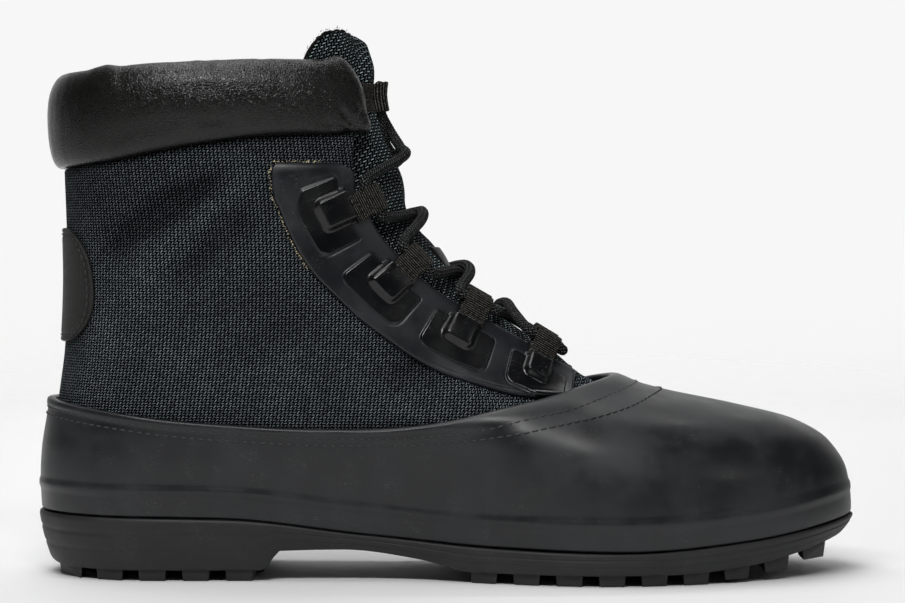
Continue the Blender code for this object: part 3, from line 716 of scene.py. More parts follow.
def makeCordFinish():
    # The same weave runs slantwise round the cord, on a layout of one unit a yarn.
    made, tree, shader = finishOf("braidedCord", (0.006, 0.006, 0.0065), 0.7, Specular_IOR_Level=0.03)
    layout = layoutOf(tree)
    yarns = useEffect(tree, weave, Layout=layout, Warp=1.0, Weft=1.0, Bend=0.02, Slant=0.0)
    thready = noiseOf(tree, placeOf(tree), 3600.0, 2.0, 0.7)
    # Painted highlights on the braid's crowns, and painted shade in its hollows.
    crown = calc(tree, "MULTIPLY", yarns["Crown"], mapRange(tree, thready, 0.38, 0.66, 0.25, 1.0))
    crown = calc(tree, "MULTIPLY", crown, mapRange(tree, yarns["Tone"], 0.0, 1.0, 0.35, 1.0, False))
    body = mixColour(tree, yarns["Height"], (0.0005, 0.0005, 0.0005), (0.0105, 0.0105, 0.0108))
    feed(tree, shader["Base Color"], mixColour(tree, crown, body, (0.21, 0.215, 0.22)))
    height = calc(tree, "MULTIPLY_ADD", thready, 0.25, yarns["Height"])
    feed(tree, shader["Normal"], relief(tree, height, 0.0003, 0.9))
    return made


def makePlain(name, colour, roughness, size, deep):
    # A small plain finish with a fine tooth, for thread, yarn ends and glue.
    made, tree, shader = finishOf(name, colour, roughness)
    tooth = noiseOf(tree, placeOf(tree), 1 / size, 2.0)
    pale = tuple(1.6 * part for part in colour)
    feed(tree, shader["Base Color"], mixColour(tree, mapRange(tree, tooth, 0.3, 0.7), colour, pale))
    feed(tree, shader["Normal"], relief(tree, tooth, deep))
    return made


print("Finishes")
nylon = makeNylon("wovenNylon", cloth["yarn"], cloth["shine"], 0.86, 1.0, 1.0, 0.75)
lining = makeLining()
# The tongue's copy of the nylon: darker yarns and brighter painted highlights, for light that glances along
# it.
tongueNylon = makeNylon("tongueNylon", (0.0018, 0.0022, 0.0025), (0.52, 0.64, 0.66), 0.7, 0.22, 1.16, 1.0)
# Each leather: its two tones, its grain's size and depth in metres, how dull, and its gloss.
collarLeather = makeLeather(
    "collarLeather", (0.0034, 0.0031, 0.0028), (0.0052, 0.0048, 0.0043), 0.0008, 0.00007, 0.2, 0.37
)
tongueLeather = makeLeather(
    "tongueLeather", (0.003, 0.0024, 0.002), (0.0045, 0.0037, 0.003), 0.0009, 0.00003, 0.34, 0.2
)
patchLeather = makeLeather(
    "patchLeather", (0.0075, 0.0068, 0.0062), (0.0115, 0.0105, 0.0095), 0.0007, 0.00012, 0.45
)
stayRubber = makeRubber("stayRubber", (0.0046, 0.0054, 0.0072), 0.33)
shellRubber = makeRubber("shellRubber", (0.0065, 0.0072, 0.0085), 0.38)
soleRubber = makeRubber("soleRubber", (0.0072, 0.0074, 0.008), 0.56, 0.00012)
webbing, cordFinish = makeWebbing(), makeCordFinish()
thread = makePlain("sewingThread", (0.018, 0.018, 0.019), 0.6, 0.0003, 0.0001)
yarnEnds = makePlain("yarnEnds", (0.045, 0.06, 0.066), 0.5, 0.0004, 0.0001)
darkEnds = makePlain("darkYarnEnds", (0.005, 0.005, 0.0045), 0.7, 0.0004, 0.0001)
glue = makePlain("driedGlue", (0.42, 0.36, 0.23), 0.35, 0.0004, 0.0001)
paleGlue = makePlain("paleGlue", (0.09, 0.09, 0.088), 0.45, 0.0004, 0.0001)
footbed = makeLining()
footbed.name = "footbedCloth"


# The nylon shaft: one wall from under the rubber's top edge to the collar.
shaft = dict(
    wall=boot["nylonWall"],
    rim=1.0,
    around=1.15,        # spacing of the mesh, mm
    upward=1.1,
    ruffle=0.35,        # how uneven the cloth lies
    fullFoldShade=1.4,        # the depth of fold that gets the most painted light on its ridge, or painted shade in its trough
)
shaftFolds = [
    Fold(80, 151, 41, 135, 22, 113, 2.0, 5.5),
    Fold(86, 149, 65, 136, 43, 114, -1.2, 5.5),
    Fold(84, 136, 65, 121, 46, 105, 1.0, 6.5),
    Fold(60, 127, 44, 116, 30, 100, -0.6, 7.0),
    Fold(96, 112, 70, 100, 40, 88, 0.5, 9.0),
    Fold(104, 98, 84, 86, 58, 78, 0.9, 8.0),
    Fold(88, 154, 72, 150, 40, 146, -0.7, 5.0),
    Fold(112, 160, 113.5, 154, 111, 147, 0.8, 1.5),
    Fold(116, 160, 116.5, 154, 114.5, 148, -0.5, 1.2),
    Fold(108, 160, 108.5, 155, 106, 149, -0.4, 1.6),
    Fold(103, 161, 103, 156, 99, 151, 0.4, 2.0),
    Fold(150, 92, 140, 80, 122, 66, 0.9, 7.0),
    Fold(166, 84, 158, 74, 146, 64, -0.6, 6.0),
]
innerFolds = [
    Fold(70, 146, 44, 136, 16, 118, 1.7, 6.5),
    Fold(80, 138, 56, 126, 24, 108, -1.0, 7.5),
    Fold(98, 116, 74, 104, 44, 96, 0.9, 8.0),
    Fold(112, 160, 113, 154, 110, 148, 0.6, 1.6),
    Fold(152, 90, 142, 80, 126, 66, 0.9, 7.0),
]


def shaftColumn(share, line, low, high):
    height = np.full(share.shape, (low + high) / 2)
    for _ in range(5):
        height = heightOnLine(share * throatTurn(height), line, low, high)
    return height


def shaftFoot(along):
    return shellAt(along) - 9 + 6 * ease((along - 150) / 50)


def makeShaft():
    girth, rise = 300, 104
    share = 2 * stepsAcross(girth, shaft["around"], shaft["rim"]) / girth - 1
    low = shaftColumn(share, shaftFoot, 30, 70)
    high = shaftColumn(share, lambda along: seamAt(along) - 0.2, 140, 175)
    part = stepsAcross(rise, shaft["upward"], shaft["rim"])[:, None] / rise
    height = low + (high - low) * part
    turn = share * throatTurn(height)
    base = last(turn, height)
    edge = np.minimum(np.minimum(part, 1 - part) * rise, (1 - abs(share)) * girth / 2)
    outer = turn % 2 < 1
    folds = np.where(outer, foldRelief(base, shaftFolds), foldRelief(base, innerFolds))
    folds = folds + shaft["ruffle"] * wander(base, 26, 3)
    folds = folds * ease(edge / 7) * ease((base[..., 2] - 66 + 0.1 * (base[..., 0] - 60)) / 16)
    # Painted light on the folds' ridges and painted shade in their troughs, held for the nylon's colour.
    rubbed = np.clip(folds / shaft["fullFoldShade"], -1, 1)
    full = shaft["wall"] / 2 * roundEdge(edge, shaft["rim"])
    level = runAlong(base[..., :2], 1)
    level = level - level[:, [len(share) // 2]]
    layout = np.stack([level, height], -1)
    front = last(turn, height, folds - shaft["wall"] / 2 + full)
    behind = last(turn, height, 0.8 * folds - shaft["wall"] / 2 - full)
    return meshOf("nylonShaft", [(front, layout, 0), (behind, layout, 1)], [nylon, lining], rubbed=rubbed)


print("Shaft")
keep(makeShaft(), "nylon", "upper")


# The tongue: the same nylon, its top cut raw and frayed.
tongueShape = dict(
    wall=boot["tongueWall"],
    rim=1.1,
    top=200.5,          # in the middle; it rises, then falls to the sides
    rise=14.5,
    fall=25.5,
    foot=66,
    lean=2.7,
    spacing=1.0,
    dent=9,             # how wide the padding gives under the lace; beside it, it swells
)
# Where the crossed lace presses it in: how deep, and how far up and down.
Press = namedtuple("Press", "height depth reach")
lacePresses = [
    Press(175, 1.6, 6), Press(161.5, 5, 8), Press(133.5, 2.8, 5), Press(113, 2.8, 5), Press(99, 2.8, 5),
]


def standsOut(across, height, wide=20):
    # The tongue is pressed in under the lace, and its top leans out above it.
    pressed = sum(
        press.depth * np.exp(-(((height - press.height) / press.reach) ** 2)) for press in lacePresses
    )
    lean = tongueShape["lean"] * ease((height - 177) / 13) * ease((26 - abs(across)) / 14)
    return lean - pressed * ease(1 - abs(across) / wide)


def tongueTurn(across, height):
    away = abs(across) * (1 - turnAt(tongueSideAt(height), height, False))
    return away, 1 + np.sign(across) * away


def tonguePoints(across, part, offset):
    shape = tongueShape
    top = shape["top"] + shape["rise"] * across**2 - shape["fall"] * across**4
    height = shape["foot"] + (top - shape["foot"]) * part
    away, turn = tongueTurn(across, height)
    behindEdge = (away - 1 + throatTurn(height)) / 0.06
    pressed = boot["collarPress"] * ease((height - 138) / 10) * ease(behindEdge + 1.3)
    bottom = bare(turn, height)
    aside = bottom[..., 1] - centreLine(bottom[..., 0], height)
    stands = standsOut(aside, height, shape["dent"]) - pressed
    return last(turn, height, offset + stands - boot["nylonWall"] - boot["tongueGap"])


def makeTongue():
    shape = tongueShape
    length, girth = 190, 62
    across = 2 * stepsAcross(girth, shape["spacing"], shape["rim"]) / girth - 1
    part = stepsAcross(length, shape["spacing"], shape["rim"])[:, None] / length
    across, part = np.broadcast_arrays(across, part)
    base = tonguePoints(across, part, 0)
    ragged = 0.6 * wander(base, 2.6, 8) * ease((part - 0.985) / 0.015)
    edge = np.minimum(np.minimum(part, 1 - part) * length, (1 - abs(across)) * girth / 2)
    full = shape["wall"] / 2 * roundEdge(edge, shape["rim"])
    ruffle = 0.3 * wander(base, 20, 5) * ease(edge / 6)
    level = runAlong(base, 1)
    level = level - level[:, [level.shape[1] // 2]]
    layout = np.stack([level, runAlong(base, 0)], -1)
    front = tonguePoints(across, part, ruffle - shape["wall"] / 2 + full)
    behind = tonguePoints(across, part, ruffle - shape["wall"] / 2 - full)
    front[..., 2] += ragged
    behind[..., 2] += ragged
    below = (1 - part) * length
    raw = ease((1.9 - below) / 0.8) * ease((abs(across) - 0.05) / 0.3)
    return meshOf("nylonTongue", [(front, layout, 0), (behind, layout, 1)], [tongueNylon, lining], raw=raw)


print("Tongue")
keep(makeTongue(), "nylon", "tongue")


# The moulded lace stays. Each loop has a raised pad, with a hollow cover over the webbing's root.
stay = dict(
    gap=boot["stayGap"],
    thick=boot["stayThickness"],
    rim=0.9,
    sink=0.6,            # how far the stay's edge sits down on the cloth
    padRise=0.75,
    padSlope=0.42,
    groove=0.16,         # the moulded line round each pad
    coverRise=2.1,
    coverSlope=1.8,
    coarse=0.5,          # mesh spacing, and close to the pads' edges
    fine=0.2,
)
# Where each pad and cover stands: its middle and half its length down the edge, its front and
# back behind the edge, the pad first.
StayPad = namedtuple("StayPad", "middle half front back coverMiddle coverHalf coverFront coverBack")
stayPads = [
    StayPad(14.6, 12.0, 7.3, 22.3, 13.5, 6.7, 4.9, 16.8),
    StayPad(43.7, 11.7, 6.5, 20.0, 43.6, 6.5, 4.2, 14.8),
    StayPad(72.4, 11.5, 5.5, 18.8, 71.7, 5.9, 4.2, 13.6),
    StayPad(101.9, 11.4, 5.0, 15.8, 101.6, 5.6, 3.6, 11.6),
]
stayLength = stayRows[-1].down


def makeEdgeTable():
    heights = np.arange(stayTop, 56, -0.1)
    seen = np.stack([throatAt(heights), heights], -1)
    return runAlong(seen, 0), heights


edgeRuns, edgeHeights = makeEdgeTable()


def edgeHeight(down):
    return np.interp(down, edgeRuns, edgeHeights)


def onLast(along, height, inner, offset=0.0):
    return last(turnAt(along, height, inner), height, offset)


def stayPoint(down, away, inner, offset):
    height = edgeHeight(down)
    lean = np.radians(stayCurves[1](down))
    along = throatAt(height) - away * np.cos(lean)
    return onLast(along, height - away * np.sin(lean), inner, offset)


def stayWidth(down):
    # How far back each row runs before it meets the stay's back edge.
    start, lean = edgeHeight(down), np.radians(stayCurves[1](down))
    low, high = np.zeros(len(down)), np.full(len(down), 45.0)
    for _ in range(30):
        away = (low + high) / 2
        inside = throatAt(start) - away * np.cos(lean) > stayBackAt(start - away * np.sin(lean))
        low, high = np.where(inside, away, low), np.where(inside, high, away)
    return low - stayCurves[0](down)


def insideBox(x, y, half, radius):
    # How far a place lies inside a box with rounded corners.
    dx, dy = abs(x) - half[0] + radius, abs(y) - half[1] + radius
    outside = np.hypot(np.maximum(dx, 0), np.maximum(dy, 0))
    return radius - outside - np.minimum(np.maximum(dx, dy), 0)


def padEdge(down, name):
    return np.interp(down, [pad.middle for pad in stayPads], [getattr(pad, name) for pad in stayPads])


def stayRelief(down, away, edge):
    # A cover starts from the pad's level and stays open towards its loop.
    rise, onPad = np.zeros(down.shape), np.zeros(down.shape)
    for pad in stayPads:
        near = down - pad.middle
        front, back = padEdge(down, "front"), padEdge(down, "back")
        x, half = away - (front + back) / 2, (back - front) / 2
        radius = np.where(x > 0, 3.0, 1.0)
        inPad = insideBox(near, x, (pad.half, half), radius)
        near = down - pad.coverMiddle + 0.05 * (away - pad.coverFront)
        reach = (pad.coverBack - pad.coverFront) / 2 + 5
        inCover = insideBox(near, away - pad.coverBack + reach, (pad.coverHalf, reach), 2.6)
        mouth = away - pad.coverFront
        raised = np.maximum(inPad, np.minimum(inCover, mouth))
        flat = stay["padRise"] * ease(raised / stay["padSlope"] + 0.5) - 0.1 * ease(inPad / 4)
        flat = flat - stay["groove"] * np.exp(-(((raised + 0.42) / 0.26) ** 2))
        slope = np.clip(inCover / stay["coverSlope"], 0, 1)
        cover = stay["coverRise"] * (0.5 * slope + 0.5 * ease(slope))
        cover = (cover + 0.18 * ease((inCover - 1.2) / 3)) * np.clip(mouth / 0.25 + 0.5, 0, 1)
        rise = rise + np.where(raised > -2, flat * ease(edge / 0.5), 0)
        rise = rise + np.where(inCover > 0, cover, 0)
        onPad = np.maximum(onPad, ease(raised / 0.3 + 0.5))
    return rise, onPad


def closeSteps(length, spots):
    # Places from 0 to length, coarse, and fine beside each of these spots.
    places, at = [0.0, 0.05, 0.14, 0.28, 0.48], 0.7
    while at < length - 0.6:
        places.append(at)
        near = min(abs(at - spot) for spot in spots) < 0.75
        at += stay["fine"] if near else stay["coarse"]
    return np.array(places + [length - rim for rim in (0.48, 0.28, 0.14, 0.05, 0)])


def stayGrid():
    # Columns keep to the pads' fronts and backs as the stay narrows.
    spots = [pad.middle + side * pad.half for pad in stayPads for side in (-1, 1)]
    rows = closeSteps(stayLength, spots)
    knots = [0, 6.0, 19.5, 27.0]
    cols = closeSteps(27.0, [4.4] + knots[1:3])
    down = rows[:, None] + 0 * cols
    inset, width = stayCurves[0](rows), stayWidth(rows)
    front = np.minimum(padEdge(rows, "front"), width * 0.4)
    back = np.minimum(padEdge(rows, "back"), width * 0.82)
    away = np.stack([
        np.interp(cols, knots, (0, near, far, wide)) for near, far, wide in zip(front, back, width)
    ])
    return down, inset[:, None] + away, away, width[:, None]


def makeStay(name, inner):
    down, away, within, width = stayGrid()
    inset = stayCurves[0](down)
    ends = np.minimum(down + 0.5 * np.maximum(1.6 - inset, 0), (stayLength - down) * 0.9)
    edge = np.minimum(np.minimum(within, width - within), ends)
    edge[[0, -1]] = 0
    edge[:, [0, -1]] = 0
    full = roundEdge(edge, stay["rim"])
    lip = 0.13 * np.exp(-(((width - within - 1.5) / 0.3) ** 2)) * ease((down - 30) / 10)
    lip = lip * ease((stayLength - 6 - down) / 8)
    low = stay["gap"] - stay["sink"]
    rise, onPad = stayRelief(down, away, edge)
    top = low + (stay["thick"] + stay["sink"]) * full + rise - lip
    top = top + 0.09 * wander(stayPoint(down, away, inner, 0), 12, 4) * full
    layout = np.stack([down, away], -1)
    front = stayPoint(down, away, inner, top)
    behind = stayPoint(down, away, inner, np.full(down.shape, low))
    return meshOf(name, [(front, layout, 0), (behind, layout, 0)], [stayRubber], raised=onPad)


print("Lace stays")
for sideName, inner in (("outer", False), ("inner", True)):
    keep(makeStay("mouldedStay_" + sideName, inner), "stay_rubber", "lace_stay_" + sideName)


# The webbing loops: a strip folded round the lace, its ends under the stay's cover.
loop = dict(
    width=boot["webbingWidth"],
    thick=1.0,
    ribPitch=0.8,
    ribDepth=0.2,
    fine=0.2,
    tuck=6.2,           # how far its ends reach back, under the cover
    mouth=3.7,          # where it leaves the cover and rises to the lace
)


def loopFrame(down, inner):
    at = stayPoint(down, 0, inner, 0)
    along = unit(stayPoint(down + 4, 0, inner, 0) - stayPoint(down - 4, 0, inner, 0))
    height = edgeHeight(down)
    out = normalAt(turnAt(throatAt(height), height, inner), height)
    out = unit(out - along * np.dot(out, along))
    across = np.cross(out, along) if not inner else np.cross(along, out)
    return at, along, across, out


def eyeCentre(down, inner):
    at, along, across, out = loopFrame(down, inner)
    return at + across * boot["eyeReach"] + out * boot["eyeLift"]


def stripPath():
    # The middle of the strip, seen along the lace: out to the lace, round it and back.
    root = boot["stayGap"] + boot["stayThickness"] + 0.15
    radius = eyeRadius + loop["thick"] / 2
    levels = (root + 1.5 * loop["thick"] + 0.1, root + 0.5 * loop["thick"])
    angles = []
    for level, side, start in zip(levels, (-1, 1), (-loop["mouth"], 0.2)):
        x, y = start - boot["eyeReach"], level - boot["eyeLift"]
        angles.append(math.atan2(y, x) % (2 * math.pi) + side * math.acos(radius / math.hypot(x, y)))
    sweep = np.linspace(angles[0], angles[1] - 2 * math.pi, 40)
    ring = np.stack([np.cos(sweep), np.sin(sweep)], -1) * radius
    ring = ring + (boot["eyeReach"], boot["eyeLift"])
    top = [(-loop["tuck"], levels[0]), (-loop["mouth"], levels[0])]
    foot = [(0.2, levels[1]), (-1, levels[1]), (-loop["tuck"], levels[1])]
    route = np.concatenate([top, ring, foot])
    run = runAlong(route, 0)
    places = np.arange(0, run[-1], loop["fine"])
    return np.stack([np.interp(places, run, route[:, axis]) for axis in (0, 1)], -1), places


def stripFaces(places, width, thick):
    # Both faces of a ribbed strip along a path: how far across it, and how far out of the path.
    depth = loop["ribDepth"]
    across = stepsAcross(width, 1.6, 0.35) - width / 2
    full = roundEdge(width / 2 - abs(across), 0.4)
    rib = depth * (0.5 + 0.5 * np.cos(2 * math.pi * places / loop["ribPitch"]))[:, None]
    ends = roundEdge(np.minimum(places, places[-1] - places), 0.4)[:, None]
    half = (thick / 2 - depth + rib) * full * ends
    layout = np.stack(np.broadcast_arrays(across + width / 2, places[:, None]), -1)
    return across, half, layout


def makeLoop(name, down, inner):
    route, places = stripPath()
    at, along, across, out = loopFrame(down, inner)
    tangent = unit(np.gradient(route, axis=0))
    side, half, layout = stripFaces(places, loop["width"], loop["thick"])
    sheets = []
    for sign in (1, -1):
        x = route[:, [0]] - tangent[:, [1]] * half * sign
        y = route[:, [1]] + tangent[:, [0]] * half * sign
        z = np.broadcast_to(side, x.shape)
        grid = at + x[..., None] * across + y[..., None] * out + z[..., None] * along
        sheets.append((grid, layout, 0))
    return meshOf(name, sheets, [webbing])


print("Webbing loops")
for sideName, inner in (("outer", False), ("inner", True)):
    for number, down in enumerate(loopDowns, 1):
        piece = makeLoop(f"webbingLoop_{sideName}_{number}", down, inner)
        keep(piece, "webbing", f"lace_loop_{sideName}_{number}")


# The keeper: a strip of the same webbing sewn across the tongue, with the lace under it.
keeper = dict(level=176.5, reach=17, width=10, thick=1.0, lift=0.35, bridge=4.65, shoulder=9.5)


def overTongue(across, height, lift):
    across, height, lift = np.broadcast_arrays(across, height, lift)
    low, high = np.full(across.shape, 0.5), np.full(across.shape, 1.0)
    for _ in range(30):
        middle = (low + high) / 2
        point = bare(middle, height)
        far = abs(point[..., 1] - centreLine(point[..., 0], height)) > abs(across)
        low, high = np.where(far, middle, low), np.where(far, high, middle)
    turn = np.where(across < 0, low, 2 - low)
    return last(turn, height, lift - boot["nylonWall"] - boot["tongueGap"] + standsOut(across, height))


def makeKeeper():
    places = np.arange(0, 2 * keeper["reach"] + 0.01, 0.2)
    across = places - keeper["reach"]
    side, half, layout = stripFaces(places, keeper["width"], keeper["thick"])
    rise = keeper["bridge"] * ease((keeper["shoulder"] - abs(across)) / 5)
    lift = keeper["lift"] + keeper["thick"] / 2 + rise
    sheets = []
    for sign in (1, -1):
        grid = overTongue(across[:, None], keeper["level"] + side, lift[:, None] + half * sign)
        sheets.append((grid, layout, 0))
    return meshOf("webbingKeeper", sheets, [webbing])


print("Keeper")
keep(makeKeeper(), "webbing", "tongue_keeper")


# Geometry Nodes: what repeats along a path is grown from a curve, then kept as a plain mesh.
def makeTree(name, inputs):
    tree = bpy.data.node_groups.new(name, "GeometryNodeTree")
    tree.interface.new_socket("Path", in_out="INPUT", socket_type="NodeSocketGeometry")
    for label, kind, value in inputs + [("Finish", "Material", None)]:
        socket = tree.interface.new_socket(label, in_out="INPUT", socket_type="NodeSocket" + kind)
        if value is not None:
            socket.default_value = value
    tree.interface.new_socket("Mesh", in_out="OUTPUT", socket_type="NodeSocketGeometry")
    given = tree.nodes.new("NodeGroupInput").outputs
    return tree, given, tree.nodes.new("NodeGroupOutput").inputs


def addNode(tree, kind, settings=None, **inputs):
    node = tree.nodes.new(kind)
    for label, value in (settings or {}).items():
        setattr(node, label, value)
    for label, value in inputs.items():
        feed(tree, node.inputs[label.replace("_", " ")], value)
    return node


def endTree(tree, geometry, finish, out):
    solid = addNode(tree, "GeometryNodeRealizeInstances", Geometry=geometry).outputs[0]
    smooth = addNode(tree, "GeometryNodeSetShadeSmooth", Geometry=solid).outputs[0]
    done = addNode(tree, "GeometryNodeSetMaterial", Geometry=smooth, Material=finish)
    tree.links.new(done.outputs[0], out[0])


def pathOf(runs, cyclic=False):
    # A curve object through these runs of points, for a tree to work on.
    curve = bpy.data.curves.new("path", "CURVE")
    curve.dimensions = "3D"
    for run in runs:
        spline = curve.splines.new("POLY")
        spline.points.add(len(run) - 1)
        places = np.concatenate([toFrame(run), np.ones((len(run), 1))], axis=1)
        spline.points.foreach_set("co", places.ravel())
        spline.use_cyclic_u = cyclic
    return addPiece("path", curve)


def grow(name, tree, source, **values):
    maker = source.modifiers.new("nodes", "NODES")
    maker.node_group = tree
    for item in tree.interface.items_tree:
        if item.item_type == "SOCKET" and item.in_out == "INPUT" and item.name in values:
            maker[item.identifier] = values[item.name]
    graph = bpy.context.evaluated_depsgraph_get()
    mesh = bpy.data.meshes.new_from_object(source.evaluated_get(graph))
    mesh.name = name
    source.modifiers.clear()
    bpy.data.objects.remove(source)
    return addPiece(name, mesh)


# The lace: one braided cord, over and under through the loops, with its ends let in at the top.
lace = dict(
    radius=boot["laceDiameter"] / 2 - 0.1,
    carriers=8,         # bundles of yarn each way round
    plait=1.25,         # mm along the cord from one crossing to the next
    roundPoints=32,
    depth=0.2,
)


def passThrough(down, inner):
    centre, along = eyeCentre(down, inner), loopFrame(down, inner)[1]
    return [centre + along * step for step in (-7.4, 0, 7.4)]


def crossing(start, end, over):
    # Level over the tongue, then down to the next loop.
    lifts = (5.6, 6.7, 5.6) if over else (3.0, 2.45, 3.0)
    heights = (start[2] + 1.0, start[2] + 1.4, start[2] + 0.25 * (end[2] - start[2]))
    sides = [start[1] + (end[1] - start[1]) * share for share in (0.27, 0.5, 0.73)]
    return [overTongue(*place) for place in zip(sides, heights, lifts)]


def strand(firstInner):
    # One half of the lace, from the keeper down to the lowest loop.
    over, side = not firstInner, -2.3 if firstInner else 2.3
    points = [overTongue(side, 178.2, 2.6), overTongue(side, 171.5, 2.6)]
    points.append(overTongue(side * 0.9, 164.5, 6.1 if over else 2.8))
    points.append(overTongue(side * -1.2, 158, 6.9 if over else 2.8))
    points.append(overTongue(-9 if over else 9, 154, 5.6 if over else 3.4))
    inner = firstInner
    for down in loopDowns:
        through = passThrough(down, inner)
        if down > loopDowns[0]:
            points += crossing(points[-1], through[0], not inner)
        points += through
        inner = not inner
    return points


def laceRoute():
    one, other = strand(False), strand(True)
    foot = (one[-1] + other[-1]) / 2
    bar = [overTongue(share * 7, foot[2] + 1.5, 2.6) for share in (1, 0, -1)]
    top = [overTongue(-1.2, 180.6, 2.6), overTongue(1.2, 180.6, 2.6)]
    points = np.array(one + bar + other[::-1] + top)
    return np.roll(points, -1, axis=0)


def smoothLoop(points, steps):
    # A closed smooth curve through the points.
    before, after, beyond = (np.roll(points, shift, axis=0) for shift in (1, -1, -2))
    rows = []
    for u in np.arange(steps) / steps:
        rows.append(
            points + 0.5 * u * (after - before)
            + u * u * (before - 2.5 * points + 2 * after - 0.5 * beyond)
            + u**3 * (1.5 * points - 1.5 * after + 0.5 * (beyond - before))
        )
    return np.stack(rows, 1).reshape(-1, 3)


def makeBraidTree():
    inputs = [("Radius", "Float", 0.002), ("Carriers", "Int", 8), ("Plaits", "Int", 400)]
    inputs += [("Round Points", "Int", 33), ("Depth", "Float", 0.0002)]
    tree, given, out = makeTree("braided cord", inputs)
    count = calc(tree, "MULTIPLY", given["Plaits"], 4.0)
    even = addNode(tree, "GeometryNodeResampleCurve", Curve=given["Path"], Count=count)
    travel = addNode(tree, "GeometryNodeSplineParameter").outputs["Factor"]
    held = addNode(tree, "GeometryNodeCaptureAttribute", Geometry=even.outputs[0])
    held.capture_items.new("FLOAT", "travel")
    feed(tree, held.inputs["travel"], travel)
    ring = addNode(
        tree, "GeometryNodeCurveArc", {"mode": "RADIUS"}, Resolution=given["Round Points"],
        Radius=given["Radius"], Sweep_Angle=2 * math.pi,
    )
    around = addNode(tree, "GeometryNodeSplineParameter").outputs["Factor"]
    heldRing = addNode(tree, "GeometryNodeCaptureAttribute", Geometry=ring.outputs[0])
    heldRing.capture_items.new("FLOAT", "around")
    feed(tree, heldRing.inputs["around"], around)
    tube = addNode(
        tree, "GeometryNodeCurveToMesh", Curve=held.outputs[0], Profile_Curve=heldRing.outputs[0]
    )
    along = calc(tree, "MULTIPLY", held.outputs["travel"], given["Plaits"])
    turned = calc(tree, "MULTIPLY", heldRing.outputs["around"], given["Carriers"])
    ways = [calc(tree, "ADD", turned, along), calc(tree, "SUBTRACT", turned, along)]
    layout = addNode(tree, "ShaderNodeCombineXYZ", X=ways[0], Y=ways[1]).outputs[0]
    settings = {"data_type": "FLOAT2", "domain": "CORNER"}
    mapped = addNode(
        tree, "GeometryNodeStoreNamedAttribute", settings, Geometry=tube.outputs[0], Name="UVMap"
    )
    feed(tree, mapped.inputs["Value"], layout)
    sides = [calc(tree, "SUBTRACT", calc(tree, "FRACT", way), 0.5) for way in ways]
    cell = calc(tree, "ADD", calc(tree, "FLOOR", ways[0]), calc(tree, "FLOOR", ways[1]))
    odd = calc(tree, "FLOORED_MODULO", cell, 2.0)
    tops = [yarnCell(tree, sides[0], sides[1]), yarnCell(tree, sides[1], sides[0])]
    rise = calc(tree, "MULTIPLY_ADD", odd, calc(tree, "SUBTRACT", tops[1], tops[0]), tops[0])
    settings = {"data_type": "FLOAT", "domain": "POINT"}
    raised = addNode(
        tree, "GeometryNodeStoreNamedAttribute", settings, Geometry=mapped.outputs[0], Name="plait"
    )
    feed(tree, raised.inputs["Value"], rise)
    closed = addNode(tree, "GeometryNodeMergeByDistance", Geometry=raised.outputs[0], Distance=2e-5)
    height = addNode(tree, "GeometryNodeInputNamedAttribute", {"data_type": "FLOAT"}, Name="plait")
    amount = calc(tree, "MULTIPLY", calc(tree, "SUBTRACT", height.outputs[0], 0.45), given["Depth"])
    push = addNode(tree, "ShaderNodeVectorMath", {"operation": "SCALE"}, Scale=amount)
    tree.links.new(addNode(tree, "GeometryNodeInputNormal").outputs[0], push.inputs[0])
    moved = addNode(
        tree, "GeometryNodeSetPosition", Geometry=closed.outputs[0], Offset=push.outputs[0]
    )
    endTree(tree, moved.outputs[0], given["Finish"], out)
    return tree


def makeLace():
    route = smoothLoop(laceRoute(), 24)
    run = np.linalg.norm(np.roll(route, -1, axis=0) - route, axis=1).sum()
    return grow(
        "braidedLace", makeBraidTree(), pathOf([route], True), Radius=lace["radius"] * mm,
        Carriers=lace["carriers"], Plaits=round(run / lace["plait"]),
        Depth=lace["depth"] * mm, Finish=cordFinish, **{"Round Points": lace["roundPoints"] + 1},
    )


print("Lace")
keep(makeLace(), "cord", "lace")


# Small things strewn along a path: dried glue, threads' ends and the tongue's cut yarns.
strewn = dict(
    glue=dict(Spacing=0.4, Size=0.42, Spread=0.32, Seed=3),
    curls=dict(Spacing=0.2, Size=0.16, Spread=0.08, Seed=5),
    ends=dict(Spacing=1.3, Size=0.42, Spread=0.35, Seed=8),
    fringe=dict(Spacing=0.62, Spread=0.75),
    glueLift=0.7,
)
# Curls of glue on the stay's upper corner: where, how big, and the angle each starts at.
Curl = namedtuple("Curl", "along height size start")
glueCurls = [
    Curl(93.4, 147.4, 0.9, 3.4), Curl(90.2, 144.3, 0.8, 0.6), Curl(91, 142.2, 0.7, 2.0),
    Curl(96.2, 143.4, 1.2, 2.6), Curl(99.4, 142.6, 0.9, 5.2), Curl(95.2, 149.2, 0.6, 4.4),
]
# The cut yarns: how far across the tongue they reach, and their size.
Fringe = namedtuple("Fringe", "label reach finish size long")
fringes = [Fringe("dark", 0.97, darkEnds, 0.2, 1.5), Fringe("pale", 0.5, yarnEnds, 0.14, 1.3)]


def alongPath(tree, given):
    # Points at even spacing on the path.
    even = {"mode": "LENGTH"}
    return addNode(tree, "GeometryNodeResampleCurve", even, Curve=given["Path"], Length=given["Spacing"])


def randomOf(tree, kind, seed, low, high):
    node = addNode(tree, "FunctionNodeRandomValue", {"data_type": kind}, Seed=seed)
    first, second, output = (0, 1, 0) if kind == "FLOAT_VECTOR" else (2, 3, 1)
    node.inputs[first].default_value = low
    node.inputs[second].default_value = high
    return node.outputs[output]


